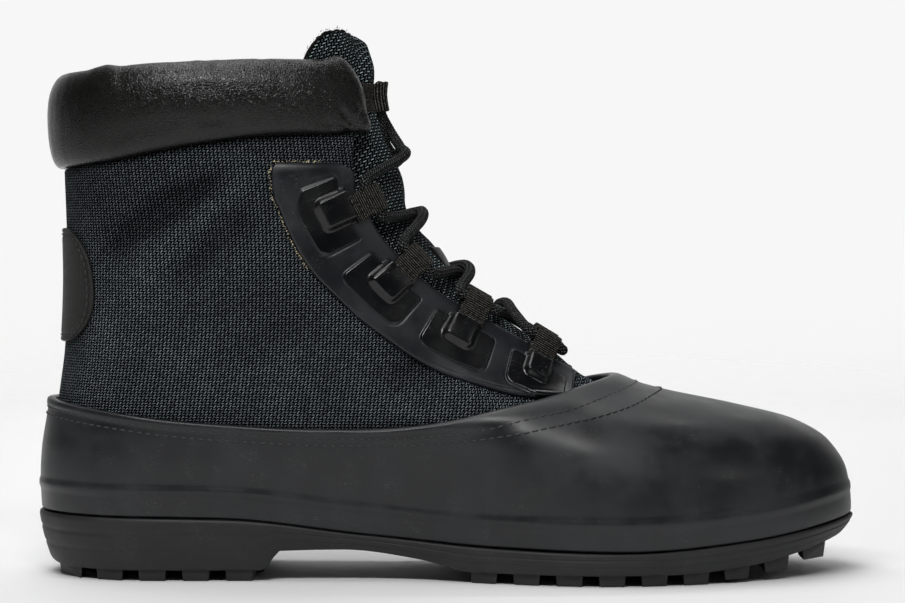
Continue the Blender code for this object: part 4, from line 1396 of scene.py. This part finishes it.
def makeStrewnTree(name, tuft):
    # Beads, or thin cones as cut yarns, turned and sized at random.
    inputs = [("Spacing", "Float", 0.001), ("Size", "Float", 0.0003), ("Spread", "Float", 0.0003)]
    inputs += [("Long", "Float", 0.001), ("Seed", "Int", 1)]
    tree, given, out = makeTree(name, inputs)
    points = alongPath(tree, given)
    if tuft:
        shape = addNode(tree, "GeometryNodeMeshCone", Vertices=5, Radius_Bottom=given["Size"])
        feed(tree, shape.inputs["Depth"], given["Long"])
        shape.inputs["Radius Top"].default_value = 0.00003
        low, high = (-0.55, -0.55, 0.0), (0.55, 0.55, 6.0)
    else:
        shape = addNode(tree, "GeometryNodeMeshIcoSphere", Radius=given["Size"], Subdivisions=2)
        low, high = (-3.0, -3.0, -3.0), (3.0, 3.0, 3.0)
    seeds = [given["Seed"]] + [calc(tree, "ADD", given["Seed"], step) for step in (3.0, 5.0, 9.0)]
    turned = randomOf(tree, "FLOAT_VECTOR", seeds[0], low, high)
    small = randomOf(tree, "FLOAT_VECTOR", seeds[1], (0.35,) * 3, (1.0,) * 3)
    rest = calc(tree, "POWER", randomOf(tree, "FLOAT", seeds[2], 0.25, 1.0), 1.6)
    sized = addNode(tree, "ShaderNodeVectorMath", {"operation": "SCALE"}, Scale=rest)
    tree.links.new(small, sized.inputs[0])
    made = addNode(
        tree, "GeometryNodeInstanceOnPoints", Points=points.outputs[0], Instance=shape.outputs[0],
        Rotation=turned, Scale=sized.outputs[0],
    )
    away = randomOf(tree, "FLOAT_VECTOR", seeds[3], (-1.0,) * 3, (1.0,) * 3)
    shift = addNode(tree, "ShaderNodeVectorMath", {"operation": "SCALE"}, Scale=given["Spread"])
    tree.links.new(away, shift.inputs[0])
    moved = addNode(tree, "GeometryNodeSetPosition", Geometry=made.outputs[0], Offset=shift.outputs[0])
    endTree(tree, moved.outputs[0], given["Finish"], out)
    return tree


def glueRuns(inner):
    # Along the stay's top edge, and down the upper part of its back edge.
    along = np.linspace(104, 87, 30)
    level = onLast(along, np.full(30, stayTop + 0.25), inner, strewn["glueLift"])
    heights = np.linspace(151, 113, 60)
    return [level, onLast(stayBackAt(heights) - 0.45, heights, inner, strewn["glueLift"])]


def curlRuns(inner):
    runs = []
    for curl in glueCurls:
        angle = curl.start + np.linspace(0, 2.4, 8)
        seen = curl.along + curl.size * np.cos(angle), curl.height + curl.size * np.sin(angle)
        runs.append(onLast(*seen, inner, stay["gap"] + stay["thick"] + 0.04))
    return runs


def rootRuns(inner):
    # Where each webbing goes under its cover.
    runs = []
    for pad in stayPads:
        down = pad.coverMiddle + np.linspace(-5.2, 5.2, 12)
        runs.append(stayPoint(down, np.full(12, pad.coverFront + 0.1), inner, boot["stayGap"] + 4.4))
    return runs


def strew(name, tree, runs, slot, finish, sizes, cyclic=False):
    # Sizes are in mm, apart from the seed.
    values = {label: size if label == "Seed" else size * mm for label, size in sizes.items()}
    keep(grow(name, tree, pathOf(runs, cyclic), Finish=finish, **values), slot)


def topEdgeRun(reach):
    across = np.linspace(-reach, reach, 120)[:, None]
    return tonguePoints(across, np.ones(across.shape), -tongueShape["wall"] / 2)[:, 0]


print("Glue and loose threads")
beads, tufts = makeStrewnTree("strewn beads", False), makeStrewnTree("cut yarns", True)
for sideName, inner in (("outer", False), ("inner", True)):
    strew("glueBeads_" + sideName, beads, glueRuns(inner), "stay_rubber", glue, strewn["glue"])
    strew("glueCurls_" + sideName, beads, curlRuns(inner), "stay_rubber", paleGlue, strewn["curls"])
    strew("threadEnds_" + sideName, beads, rootRuns(inner), "stay_rubber", yarnEnds, strewn["ends"])
for fringe in fringes:
    for row in (0, 1):
        sizes = dict(strewn["fringe"], Size=fringe.size, Long=fringe.long, Seed=11 + row)
        name = f"fringe_{fringe.label}_{row + 1}"
        strew(name, tufts, [topEdgeRun(fringe.reach)], "nylon", fringe.finish, sizes)


# A smooth leather strip lies across the tongue, between the second and third crossings.
strip = dict(foot=112.2, top=122.4, reach=11, thick=1.0)


def makeStrip():
    across = (stepsAcross(2 * strip["reach"], 0.9, 0.8) - strip["reach"])[None, :]
    rise = stepsAcross(strip["top"] - strip["foot"], 0.7, 0.8)[:, None]
    edge = np.minimum(strip["reach"] - abs(across), np.minimum(rise, strip["top"] - strip["foot"] - rise))
    across, height = np.broadcast_arrays(across, strip["foot"] + rise)
    layout = np.stack([across, height], -1)
    front = overTongue(across, height, 0.25 + strip["thick"] * roundEdge(edge, 0.8))
    behind = overTongue(across, height, np.full(across.shape, 0.25))
    return meshOf("tongueStrip", [(front, layout, 0), (behind, layout, 0)], [tongueLeather])


print("Tongue strip")
keep(makeStrip(), "patch_leather")


# The padded collar: a rolled leather tube, blown up by a cloth simulation and creased.
collar = dict(
    out=6.2,            # how far its outer side starts from its middle; the simulation fills it
    back=4.8,
    front=119.3,        # where its rounded front end stands
    endRound=(8.5, 13.4),
    stations=190,
    ring=44,
    pressure=500,
    mass=0.02,
    most=1.3,           # how far the simulation may move a point, mm
    frames=20,
)
paddedTop = lineOf([
    Point(0, 184.2), Point(10, 184.9), Point(18.5, 185.4), Point(26, 187.3), Point(31, 186.9),
    Point(45, 187.8), Point(65, 189), Point(85, 189.8), Point(102, 190.1), Point(112, 191.6),
    Point(123, 191.9),
])
collarFolds = [
    Fold(119, 163, 114, 166, 111, 172, 0.55, 1.1),
    Fold(117, 161.5, 110, 165, 104, 166, 0.45, 1.2),
    Fold(120.5, 168, 117, 171, 115.5, 176, 0.4, 0.9),
    Fold(114, 160, 108, 163, 98, 163.5, -0.35, 1.5),
    Fold(116, 167, 113, 171, 112.5, 175, -0.3, 1.0),
    Fold(108, 170, 104, 175, 103, 181, 0.2, 1.4),
    Fold(90, 168, 70, 166, 52, 162, 0.3, 4.0),
    Fold(60, 166, 40, 164, 22, 158, 0.25, 3.5),
    Fold(24, 190, 25.5, 184, 24, 178, 0.3, 2.2),
    Fold(33, 189, 34, 183, 33, 176, 0.22, 2.6),
]


def collarRing():
    # How high and how far out each point of the tube's section stands, from -1 to 1.
    angle = 2 * np.pi * (np.arange(collar["ring"]) + 0.5) / collar["ring"]
    return np.sin(angle), np.cos(angle)


def collarStart():
    # The tube before it is filled: rounded at both front ends.
    girth = 262
    share = 2 * stepsAcross(girth, girth / collar["stations"], 7.0) / girth - 1
    reachTurn = turnAt(collar["front"] - 0.9, 176, False)
    turn, rise, swell = np.broadcast_arrays((share * reachTurn)[:, None], *collarRing())
    fromEnd = (1 - abs(share)) * girth / 2
    low = heightOnLine(share * reachTurn, seamAt, 140, 175)
    high = heightOnLine(share * reachTurn, paddedTop, 175, 200)
    across, drop = collar["endRound"]
    high = high - drop * (1 - roundEdge(fromEnd, across))
    low = low + 2.5 * (1 - roundEdge(fromEnd, 3.0))
    full = (0.12 + 0.88 * roundEdge(fromEnd, 7.0))[:, None]
    lift = np.sign(rise) * abs(rise) ** 0.9
    height = ((low + high) / 2)[:, None] + ((high - low) / 2)[:, None] * lift
    reach = np.where(swell > 0, collar["out"], collar["back"]) * full
    # Its top slopes in; below the middle it hangs straight, then turns in to the seam.
    bend = np.where(swell < 0, 0.9, np.where(rise > 0, 1.2, 0.5))
    out = np.sign(swell) * abs(swell) ** bend * reach
    return last(turn, height, out - 0.8), turn, height


def makeCollar():
    grid, turn, height = collarStart()
    rows, ring = grid.shape[:2]
    points = toFrame(grid).reshape(-1, 3)
    index = np.arange(rows * ring).reshape(rows, ring)
    beside = np.roll(index, -1, axis=1)
    quads = np.stack([index[:-1], beside[:-1], beside[1:], index[1:]], -1).reshape(-1, 4)
    ends = [index[0][::-1].tolist(), index[-1].tolist()]
    mesh = bpy.data.meshes.new("paddedCollar")
    mesh.from_pydata(points.tolist(), [], quads.tolist() + ends)
    work = bmesh.new()
    work.from_mesh(mesh)
    caps = [face for face in work.faces if len(face.verts) > 4]
    bmesh.ops.poke(work, faces=caps)
    bmesh.ops.recalc_face_normals(work, faces=work.faces)
    work.to_mesh(mesh)
    work.free()
    mesh.materials.append(collarLeather)
    pad = addPiece("paddedCollar", mesh)
    fillCollar(pad, rows, ring)
    smooth = pad.modifiers.new("smooth", "SUBSURF")
    smooth.levels = smooth.render_levels = 1
    applyAll(pad)
    creaseCollar(pad)
    pad.data.shade_smooth()
    return pad


def applyAll(piece):
    graph = bpy.context.evaluated_depsgraph_get()
    mesh = bpy.data.meshes.new_from_object(piece.evaluated_get(graph))
    piece.modifiers.clear()
    piece.data = mesh


def pointsOf(mesh):
    places = np.empty(len(mesh.vertices) * 3)
    mesh.vertices.foreach_get("co", places)
    return places.reshape(-1, 3)


def fillCollar(pad, rows, ring):
    # Air pressure fills the tube; its seam and the side against the ankle are held.
    before = pointsOf(pad.data)
    rise, swell = collarRing()
    held = pad.vertex_groups.new(name="held")
    index = np.arange(rows * ring).reshape(rows, ring)
    seam = rise < -0.93
    held.add(index[:, seam].ravel().tolist(), 1.0, "REPLACE")
    held.add(index[:, (swell < -0.3) & ~seam].ravel().tolist(), 0.35, "REPLACE")
    cloth = pad.modifiers.new("cloth", "CLOTH")
    cloth.settings.quality = 5
    cloth.settings.mass = collar["mass"]
    cloth.settings.tension_stiffness = 12
    cloth.settings.compression_stiffness = 10
    cloth.settings.bending_stiffness = 0.6
    cloth.settings.use_pressure = True
    cloth.settings.uniform_pressure_force = collar["pressure"]
    cloth.settings.effector_weights.gravity = 0
    cloth.settings.vertex_group_mass = "held"
    cloth.point_cache.frame_start, cloth.point_cache.frame_end = 1, collar["frames"]
    for step in range(1, collar["frames"] + 1):
        bpy.context.scene.frame_set(step)
    applyAll(pad)
    bpy.context.scene.frame_set(1)
    moved = pointsOf(pad.data) - before
    far = np.linalg.norm(moved, axis=1, keepdims=True)
    print(f"  filled by up to {far.max() / mm:.1f} mm, {far.mean() / mm:.2f} on average")
    kept = before + moved * np.minimum(1, collar["most"] * mm / np.maximum(far, 1e-9))
    pad.data.vertices.foreach_set("co", kept.ravel())
    pad.data.update()


def creaseCollar(pad):
    # Fine upright wrinkles towards the front, and creases at the lower front corner.
    places = pointsOf(pad.data)
    normals = np.empty(places.size)
    pad.data.vertices.foreach_get("normal", normals)
    seen = places / mm + np.array([originAlong, 0, 0])
    amount = foldRelief(seen, collarFolds)
    upright = seen * (1, 1, 0.22)
    towardsFront = 0.45 + 0.55 * ease((seen[:, 0] - 30) / 60)
    amount = amount + 0.1 * wander(upright, 3.4, 12) * towardsFront
    amount = amount + 0.12 * wander(seen, 17, 6)
    cornerNear = np.exp(-((seen[:, 0] - 116) / 7) ** 2 - ((seen[:, 2] - 168) / 8) ** 2)
    amount = amount + 0.14 * wander(seen, 2.6, 21) * cornerNear
    kept = places + normals.reshape(-1, 3) * amount[:, None] * mm
    pad.data.vertices.foreach_set("co", kept.ravel())
    pad.data.update()


print("Collar")
keep(makeCollar(), "collar_leather", "collar")


# The rubber bottom: a moulded shell with a rolled top edge.
shell = dict(
    gap=boot["shellGap"],
    wall=boot["rubberWall"],
    bead=(1.7, 0.7),    # its roll's half height and how far it stands out
    ridge=(9.5, 0.5, 1.6),    # above the sole, how high, how wide
    columns=330,
    upward=1.1,
    stitchDown=(3.6, 6.2),
    stitches=dict(Spacing=3.2, Long=2.5, Thick=0.75, Seed=4),
)


def shellLines(turn):
    low = heightOnLine(turn, featherAt, 8, 40, shell["gap"] + shell["wall"]) + boot["fitGap"]
    high = heightOnLine(turn, shellAt, 40, boot["shellTop"] + 0.01)
    return low, high


def fairedRing(values):
    # Smooths a closed ring of values, so that no facet of a line's own points shows.
    for _ in range(6):
        values = (np.roll(values, 1) + 2 * values + np.roll(values, -1)) / 4
    return values


def makeShell():
    turn = np.linspace(0, 2, shell["columns"], endpoint=False)
    low, high = (fairedRing(line) for line in shellLines(turn))
    rise = 52
    part = stepsAcross(rise, shell["upward"], 1.2)[:, None] / rise
    height = low + (high - low) * part
    down = (1 - part) * (high - low)
    above = part * (high - low)
    edge = np.minimum(part, 1 - part) * rise
    full = roundEdge(edge, 1.2)
    beadHalf, beadOut = shell["bead"]
    bead = beadOut * roundEdge(beadHalf - abs(down - beadHalf), beadHalf)
    ridgeAt, ridgeHigh, ridgeWide = shell["ridge"]
    ridge = ridgeHigh * np.exp(-(((above - ridgeAt) / ridgeWide) ** 4))
    middle = shell["gap"] + shell["wall"] / 2
    base = last(turn, height)
    soft = 0.12 * wander(base, 40, 9) * full
    front = last(turn, height, middle + shell["wall"] / 2 * full + bead + ridge + soft)
    behind = last(turn, height, middle - shell["wall"] / 2 * full)
    layout = np.stack(np.broadcast_arrays(turn * 300, height), -1)
    sheets = []
    for grid in (front, behind):
        closedGrid = np.concatenate([grid, grid[:, :1]], axis=1)
        closedLayout = np.concatenate([layout, layout[:, :1]], axis=1)
        sheets.append((closedGrid, closedLayout, 0))
    return meshOf("rubberShell", sheets, [shellRubber])


def makeStitchTree():
    # A sewn row: one raised stitch after another along a path.
    inputs = [("Spacing", "Float", 0.003), ("Long", "Float", 0.0024), ("Thick", "Float", 0.0007)]
    tree, given, out = makeTree("sewn row", inputs + [("Seed", "Int", 1)])
    even = alongPath(tree, given)
    way = addNode(tree, "GeometryNodeInputTangent").outputs[0]
    held = addNode(tree, "GeometryNodeCaptureAttribute", Geometry=even.outputs[0])
    held.capture_items.new("VECTOR", "way")
    feed(tree, held.inputs["way"], way)
    knot = addNode(tree, "GeometryNodeMeshUVSphere", Segments=8, Rings=6, Radius=0.5)
    lean = randomOf(tree, "FLOAT_VECTOR", given["Seed"], (-0.05,) * 3, (0.05,) * 3)
    bent = addNode(tree, "ShaderNodeVectorMath", {"operation": "ADD"})
    tree.links.new(held.outputs["way"], bent.inputs[0])
    tree.links.new(lean, bent.inputs[1])
    turned = addNode(tree, "FunctionNodeAlignRotationToVector", {"axis": "X"}, Vector=bent.outputs[0])
    size = addNode(
        tree, "ShaderNodeCombineXYZ", X=given["Long"], Y=given["Thick"], Z=given["Thick"]
    )
    placed = addNode(
        tree, "GeometryNodeInstanceOnPoints", Points=held.outputs[0], Instance=knot.outputs[0],
        Rotation=turned.outputs[0], Scale=size.outputs[0],
    )
    endTree(tree, placed.outputs[0], given["Finish"], out)
    return tree


sewnRow = makeStitchTree()


def shellStitchRuns():
    turn = np.linspace(0, 2, 500, endpoint=False)
    high = fairedRing(shellLines(turn)[1])
    out = shell["gap"] + shell["wall"] + 0.05
    return [last(turn, high - down, out) for down in shell["stitchDown"]]


print("Rubber bottom")
keep(makeShell(), "shell_rubber", "rubber_shell")
strew("shellStitching", sewnRow, shellStitchRuns(), "shell_rubber", thread, shell["stitches"], True)


# The outsole: a band round its side with two fine grooves, and lugs down to the ground.
sole = dict(
    rim=4.6,
    undercut=1.5,
    bulge=0.8,
    grooves=((0.3, 0.35), (0.62, 0.3)),    # how far down the band, and how deep
    stations=170,
    lugRows=((5, 6, 15.8, 10.5), (9, 158, 15.2, 10)),    # how many, the first, their pitch, their length
    lugDepth=4,
    lugDraft=0.6,
    lugBevel=0.5,
)


def soleEdge(half, inner, part):
    # The band's side, from its top at part 0 to the tread at part 1.
    turn = 2 - half if inner else half
    seen = bare(half, np.full(half.shape, 20.0))[:, 0]
    top = last(turn, featherAt(seen), sole["rim"])
    low = last(turn, np.full(half.shape, 10.0), sole["rim"] - sole["undercut"])
    top[:, 2] = featherAt(top[:, 0]) - 0.5
    low[:, 2] = treadAt(top[:, 0])
    out = unit((top - bare(turn, featherAt(seen))) * (1, 1, 0))
    swell = sole["bulge"] * 0.8 * math.sin(math.pi * part)
    for at, deep in sole["grooves"]:
        swell -= deep * math.exp(-(((part - at) / 0.035) ** 2))
    rounding = 0.9 * (1 - float(roundEdge(np.array(min(part, 1 - part)), 0.1)))
    return top + (low - top) * part + out * (swell - rounding)


def makeSole():
    half = np.linspace(0.004, 0.996, sole["stations"])
    parts = stepsAcross(1.0, 0.035, 0.1)
    rings = [soleEdge(half, False, part) for part in parts]
    shares = (0.25, 0.5, 0.75)
    rings += [rings[-1] * (1 - share) + soleEdge(half, True, 1.0) * share for share in shares]
    rings += [soleEdge(half, True, part) for part in parts[::-1]]
    rings += [rings[-1] * (1 - share) + rings[0] * share for share in shares]
    grid = np.stack(rings + rings[:1])
    layout = np.stack(np.broadcast_arrays(grid[..., 0], grid[..., 2]), -1)
    ends = []
    for column in (0, -1):
        side = len(parts)
        outer = grid[:side, column]
        innerSide = grid[side + 3:2 * side + 3, column][::-1]
        ends.append((np.stack([outer, innerSide]), layout[:2, :side], 0))
    band = meshOf("outsoleBand", [(grid, layout, 0)] + ends, [soleRubber])
    return joinInto("luggedOutsole", [band, makeLugs()])


def makeLugs():
    work = bmesh.new()
    rows = []
    for count, first, pitch, length in sole["lugRows"]:
        rows += [(first + pitch * number, length) for number in range(count)]
    for start, length in rows:
        for side, forward in ((-1, 0), (1, 0), (0, 2.5)):
            corners = []
            for along in (start + forward, start + forward + length):
                reach = (float(halfWidth(along, 12, side > 0)) + 1.5) * (side or 0.16)
                within = 0.42 * reach if side else -reach
                for deep, taper in ((0, sole["lugDraft"]), (1, 0)):
                    ends = sorted((reach, within))
                    for y in (ends[0] + taper, ends[1] - taper):
                        inset = taper if along == start + forward else -taper
                        bottom = treadAt(start + length / 2) - sole["lugDepth"]
                        height = bottom + deep * (sole["lugDepth"] + 1.5)
                        corners.append((along + inset, y + centreLine(along, 12), height))
            made = [work.verts.new(place) for place in toFrame(np.array(corners, float))]
            bmesh.ops.convex_hull(work, input=made)
    bmesh.ops.dissolve_limit(work, angle_limit=0.02, verts=work.verts, edges=work.edges)
    bmesh.ops.bevel(
        work, geom=work.edges[:], offset=sole["lugBevel"] * mm, segments=2, profile=0.6,
        affect="EDGES",
    )
    bmesh.ops.recalc_face_normals(work, faces=work.faces)
    mesh = bpy.data.meshes.new("lugs")
    work.to_mesh(mesh)
    work.free()
    mesh.materials.append(soleRubber)
    return addPiece("lugs", mesh)


def joinInto(name, pieces):
    # Several meshes with the same finish as one piece.
    work = bmesh.new()
    for piece in pieces:
        work.from_mesh(piece.data)
    mesh = bpy.data.meshes.new(name)
    work.to_mesh(mesh)
    work.free()
    for finish in pieces[0].data.materials:
        mesh.materials.append(finish)
    for piece in pieces:
        bpy.data.objects.remove(piece)
    mesh.shade_smooth()
    mesh.set_sharp_from_angle(angle=math.radians(50))
    return addPiece(name, mesh)


print("Outsole")
keep(makeSole(), "sole_rubber", "outsole")


# The insole inside, slightly dished, with a rolled edge.
insole = dict(thick=4.5, inset=1.0, dish=1.2, rim=2.0)


def makeInsole():
    half = np.linspace(0.03, 0.97, 110)
    base = featherAt(bare(half, 20.0)[:, 0]) + boot["fitGap"]
    across = stepsAcross(80, 2.4, insole["rim"]) / 80
    edge = np.minimum(across, 1 - across)[:, None] * 80
    outer, inner = (
        last(turn, base + insole["thick"] / 2, -insole["inset"]) for turn in (half, 2 - half)
    )
    flat = outer + (inner - outer) * across[:, None, None]
    full = roundEdge(edge, insole["rim"])
    dish = insole["dish"] * ease(edge / 30)
    sheets = []
    for side in (0.5, -0.5):
        level = base + insole["thick"] / 2 + side * insole["thick"] * full
        grid = flat.copy()
        grid[..., 2] = level - (dish if side > 0 else 0)
        sheets.append((grid, grid[..., :2], 0))
    return meshOf("footbed", sheets, [footbed], closed=False)


print("Insole")
keep(makeInsole(), "footbed", "insole")


# The leather patch round the back of the shaft, sewn all round.
patch = dict(
    gap=0.55,
    thick=1.3,
    middle=107,
    half=21,
    stitchIn=2.3,
    stitches=dict(Spacing=3.0, Long=2.3, Thick=0.7, Seed=7),
)


def patchReach(rise):
    return 0.073 + 0.116 * np.sqrt(np.maximum(1 - abs(rise) ** 2.5, 0))


def patchGrid():
    length, width = 42, 64
    rise = 2 * stepsAcross(length, 0.9, 1.0)[:, None] / length - 1
    across = 2 * stepsAcross(width, 0.9, 1.0) / width - 1
    turn = patchReach(rise) * across
    height = patch["middle"] + patch["half"] * rise + 0 * across
    edge = np.minimum((1 - abs(rise)) * length, (1 - abs(across)) * width) / 2 + 0 * turn
    return turn, height, edge


def makePatch():
    turn, height, edge = patchGrid()
    full = roundEdge(edge, 1.0)
    pressed = 0.35 * np.exp(-(((edge - patch["stitchIn"]) / 0.8) ** 2))
    low = np.full(turn.shape, patch["gap"])
    top = low + patch["thick"] * (0.35 + 0.65 * full) - pressed
    layout = np.stack([turn * 150, height], -1)
    front = last(turn, height, np.where(edge > 0, top, low))
    behind = last(turn, height, low)
    return meshOf("heelPatch", [(front, layout, 0), (behind, layout, 0)], [patchLeather])


def patchStitchRun():
    inset = patch["stitchIn"]
    bound = 1 - inset / patch["half"]
    rise = np.concatenate([np.linspace(-bound, bound, 60), np.linspace(bound, -bound, 60)[1:-1]])
    side = np.concatenate([np.ones(60), -np.ones(58)])
    height = patch["middle"] + patch["half"] * rise
    reach = patchReach(rise) - inset / 150
    level = patch["gap"] + patch["thick"] - 0.15
    run = last(reach * side, height, level)
    top = last(np.linspace(reach[59], -reach[59], 14)[1:-1], height[59], level)
    foot = last(np.linspace(-reach[-1], reach[0], 14)[1:-1], height[0], level)
    return np.concatenate([run[:60], top, run[60:], foot])


print("Heel patch")
keep(makePatch(), "patch_leather", "heel_patch")
strew("patchStitching", sewnRow, [patchStitchRun()], "patch_leather", thread, patch["stitches"], True)


# Floor, light and camera.
stage = dict(
    elevation=1.5,      # degrees the camera looks down
    lens=110,
    across=0.338,       # metres seen across the picture at the boot
    aim=(0.0018, 0.0, 0.1005),
    backdrop=0.93,      # how bright it looks to the camera
    fade=(0.8, 1.5),    # the floor melts into the backdrop between these distances, metres
)


def cameraSees(tree):
    return tree.nodes.new("ShaderNodeLightPath").outputs["Is Camera Ray"]


def makeFloor():
    points, faces = [], []
    profile = [(-1.6, 0), (-0.4, 0), (0.4, 0), (1.1, 0)]
    profile += [(1.1 + 0.5 * math.sin(a), 0.5 - 0.5 * math.cos(a)) for a in np.linspace(0.2, 1.57, 10)]
    profile.append((1.6, 2.2))
    for y, z in profile:
        points += [(-2.4, y, z), (2.4, y, z)]
    for row in range(len(profile) - 1):
        faces.append((2 * row, 2 * row + 1, 2 * row + 3, 2 * row + 2))
    mesh = bpy.data.meshes.new("floor")
    mesh.from_pydata(points, [], faces)
    mesh.shade_smooth()
    made, tree, shader = finishOf("paleFloor", (0.86, 0.86, 0.86), 0.7)
    cloud = noiseOf(tree, placeOf(tree), 3.0, 2.0)
    tone = mixColour(tree, cloud, (0.85, 0.85, 0.85), (0.88, 0.88, 0.88))
    feed(tree, shader["Base Color"], tone)
    far = addNode(tree, "ShaderNodeVectorMath", {"operation": "LENGTH"})
    tree.links.new(placeOf(tree), far.inputs[0])
    melted = mapRange(tree, far.outputs["Value"], *stage["fade"])
    hidden = calc(tree, "MULTIPLY", melted, cameraSees(tree))
    feed(tree, shader["Alpha"], calc(tree, "SUBTRACT", 1.0, hidden))
    mesh.materials.append(made)
    floor = addPiece("floor", mesh)
    floor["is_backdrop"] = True


def addLight(name, place, size, power, target=(0, 0, 0.1)):
    light = bpy.data.lights.new(name, "AREA")
    light.shape = "RECTANGLE"
    light.size, light.size_y = size
    light.energy = power
    lamp = addPiece(name, light)
    lamp.location = place
    lamp.rotation_euler = (Vector(target) - Vector(place)).to_track_quat("-Z", "Y").to_euler()


def lightStage():
    addLight("topLight", (-0.2, -0.05, 1.15), (0.8, 0.5), 5.5, (0, 0, 0.08))
    addLight("keyLight", (-0.16, -0.86, 0.94), (0.75, 0.2), 9.5, (0, 0, 0.12))
    addLight("fillLight", (1.2, -0.8, 0.7), (0.6, 0.6), 1.2)
    addLight("wallLight", (0.0, 0.55, 1.3), (1.6, 0.3), 15, (0, 1.55, 0.45))
    world = bpy.data.worlds.new("softLight")
    world.use_nodes = True
    tree = world.node_tree
    colour, strength = tree.nodes["Background"].inputs[:2]
    feed(tree, colour, (1, 1, 1, 1))
    feed(tree, strength, mapRange(tree, cameraSees(tree), 0.0, 1.0, 0.05, stage["backdrop"], False))
    bpy.context.scene.world = world
    bpy.context.scene.view_settings.view_transform = "Standard"


def placeCamera():
    camera = bpy.data.cameras.new("camera")
    camera.lens = stage["lens"]
    camera.clip_start, camera.clip_end = 0.05, 20
    distance = stage["across"] * stage["lens"] / camera.sensor_width
    tilt = math.radians(stage["elevation"])
    aim = Vector(stage["aim"])
    view = addPiece("camera", camera)
    view.location = aim + distance * Vector((0, -math.cos(tilt), math.sin(tilt)))
    view.rotation_euler = (aim - view.location).to_track_quat("-Z", "Y").to_euler()
    bpy.context.scene.camera = view


print("Stage")
makeFloor()
lightStage()
placeCamera()
sizes = {"cad": cadBox, "visual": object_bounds()}
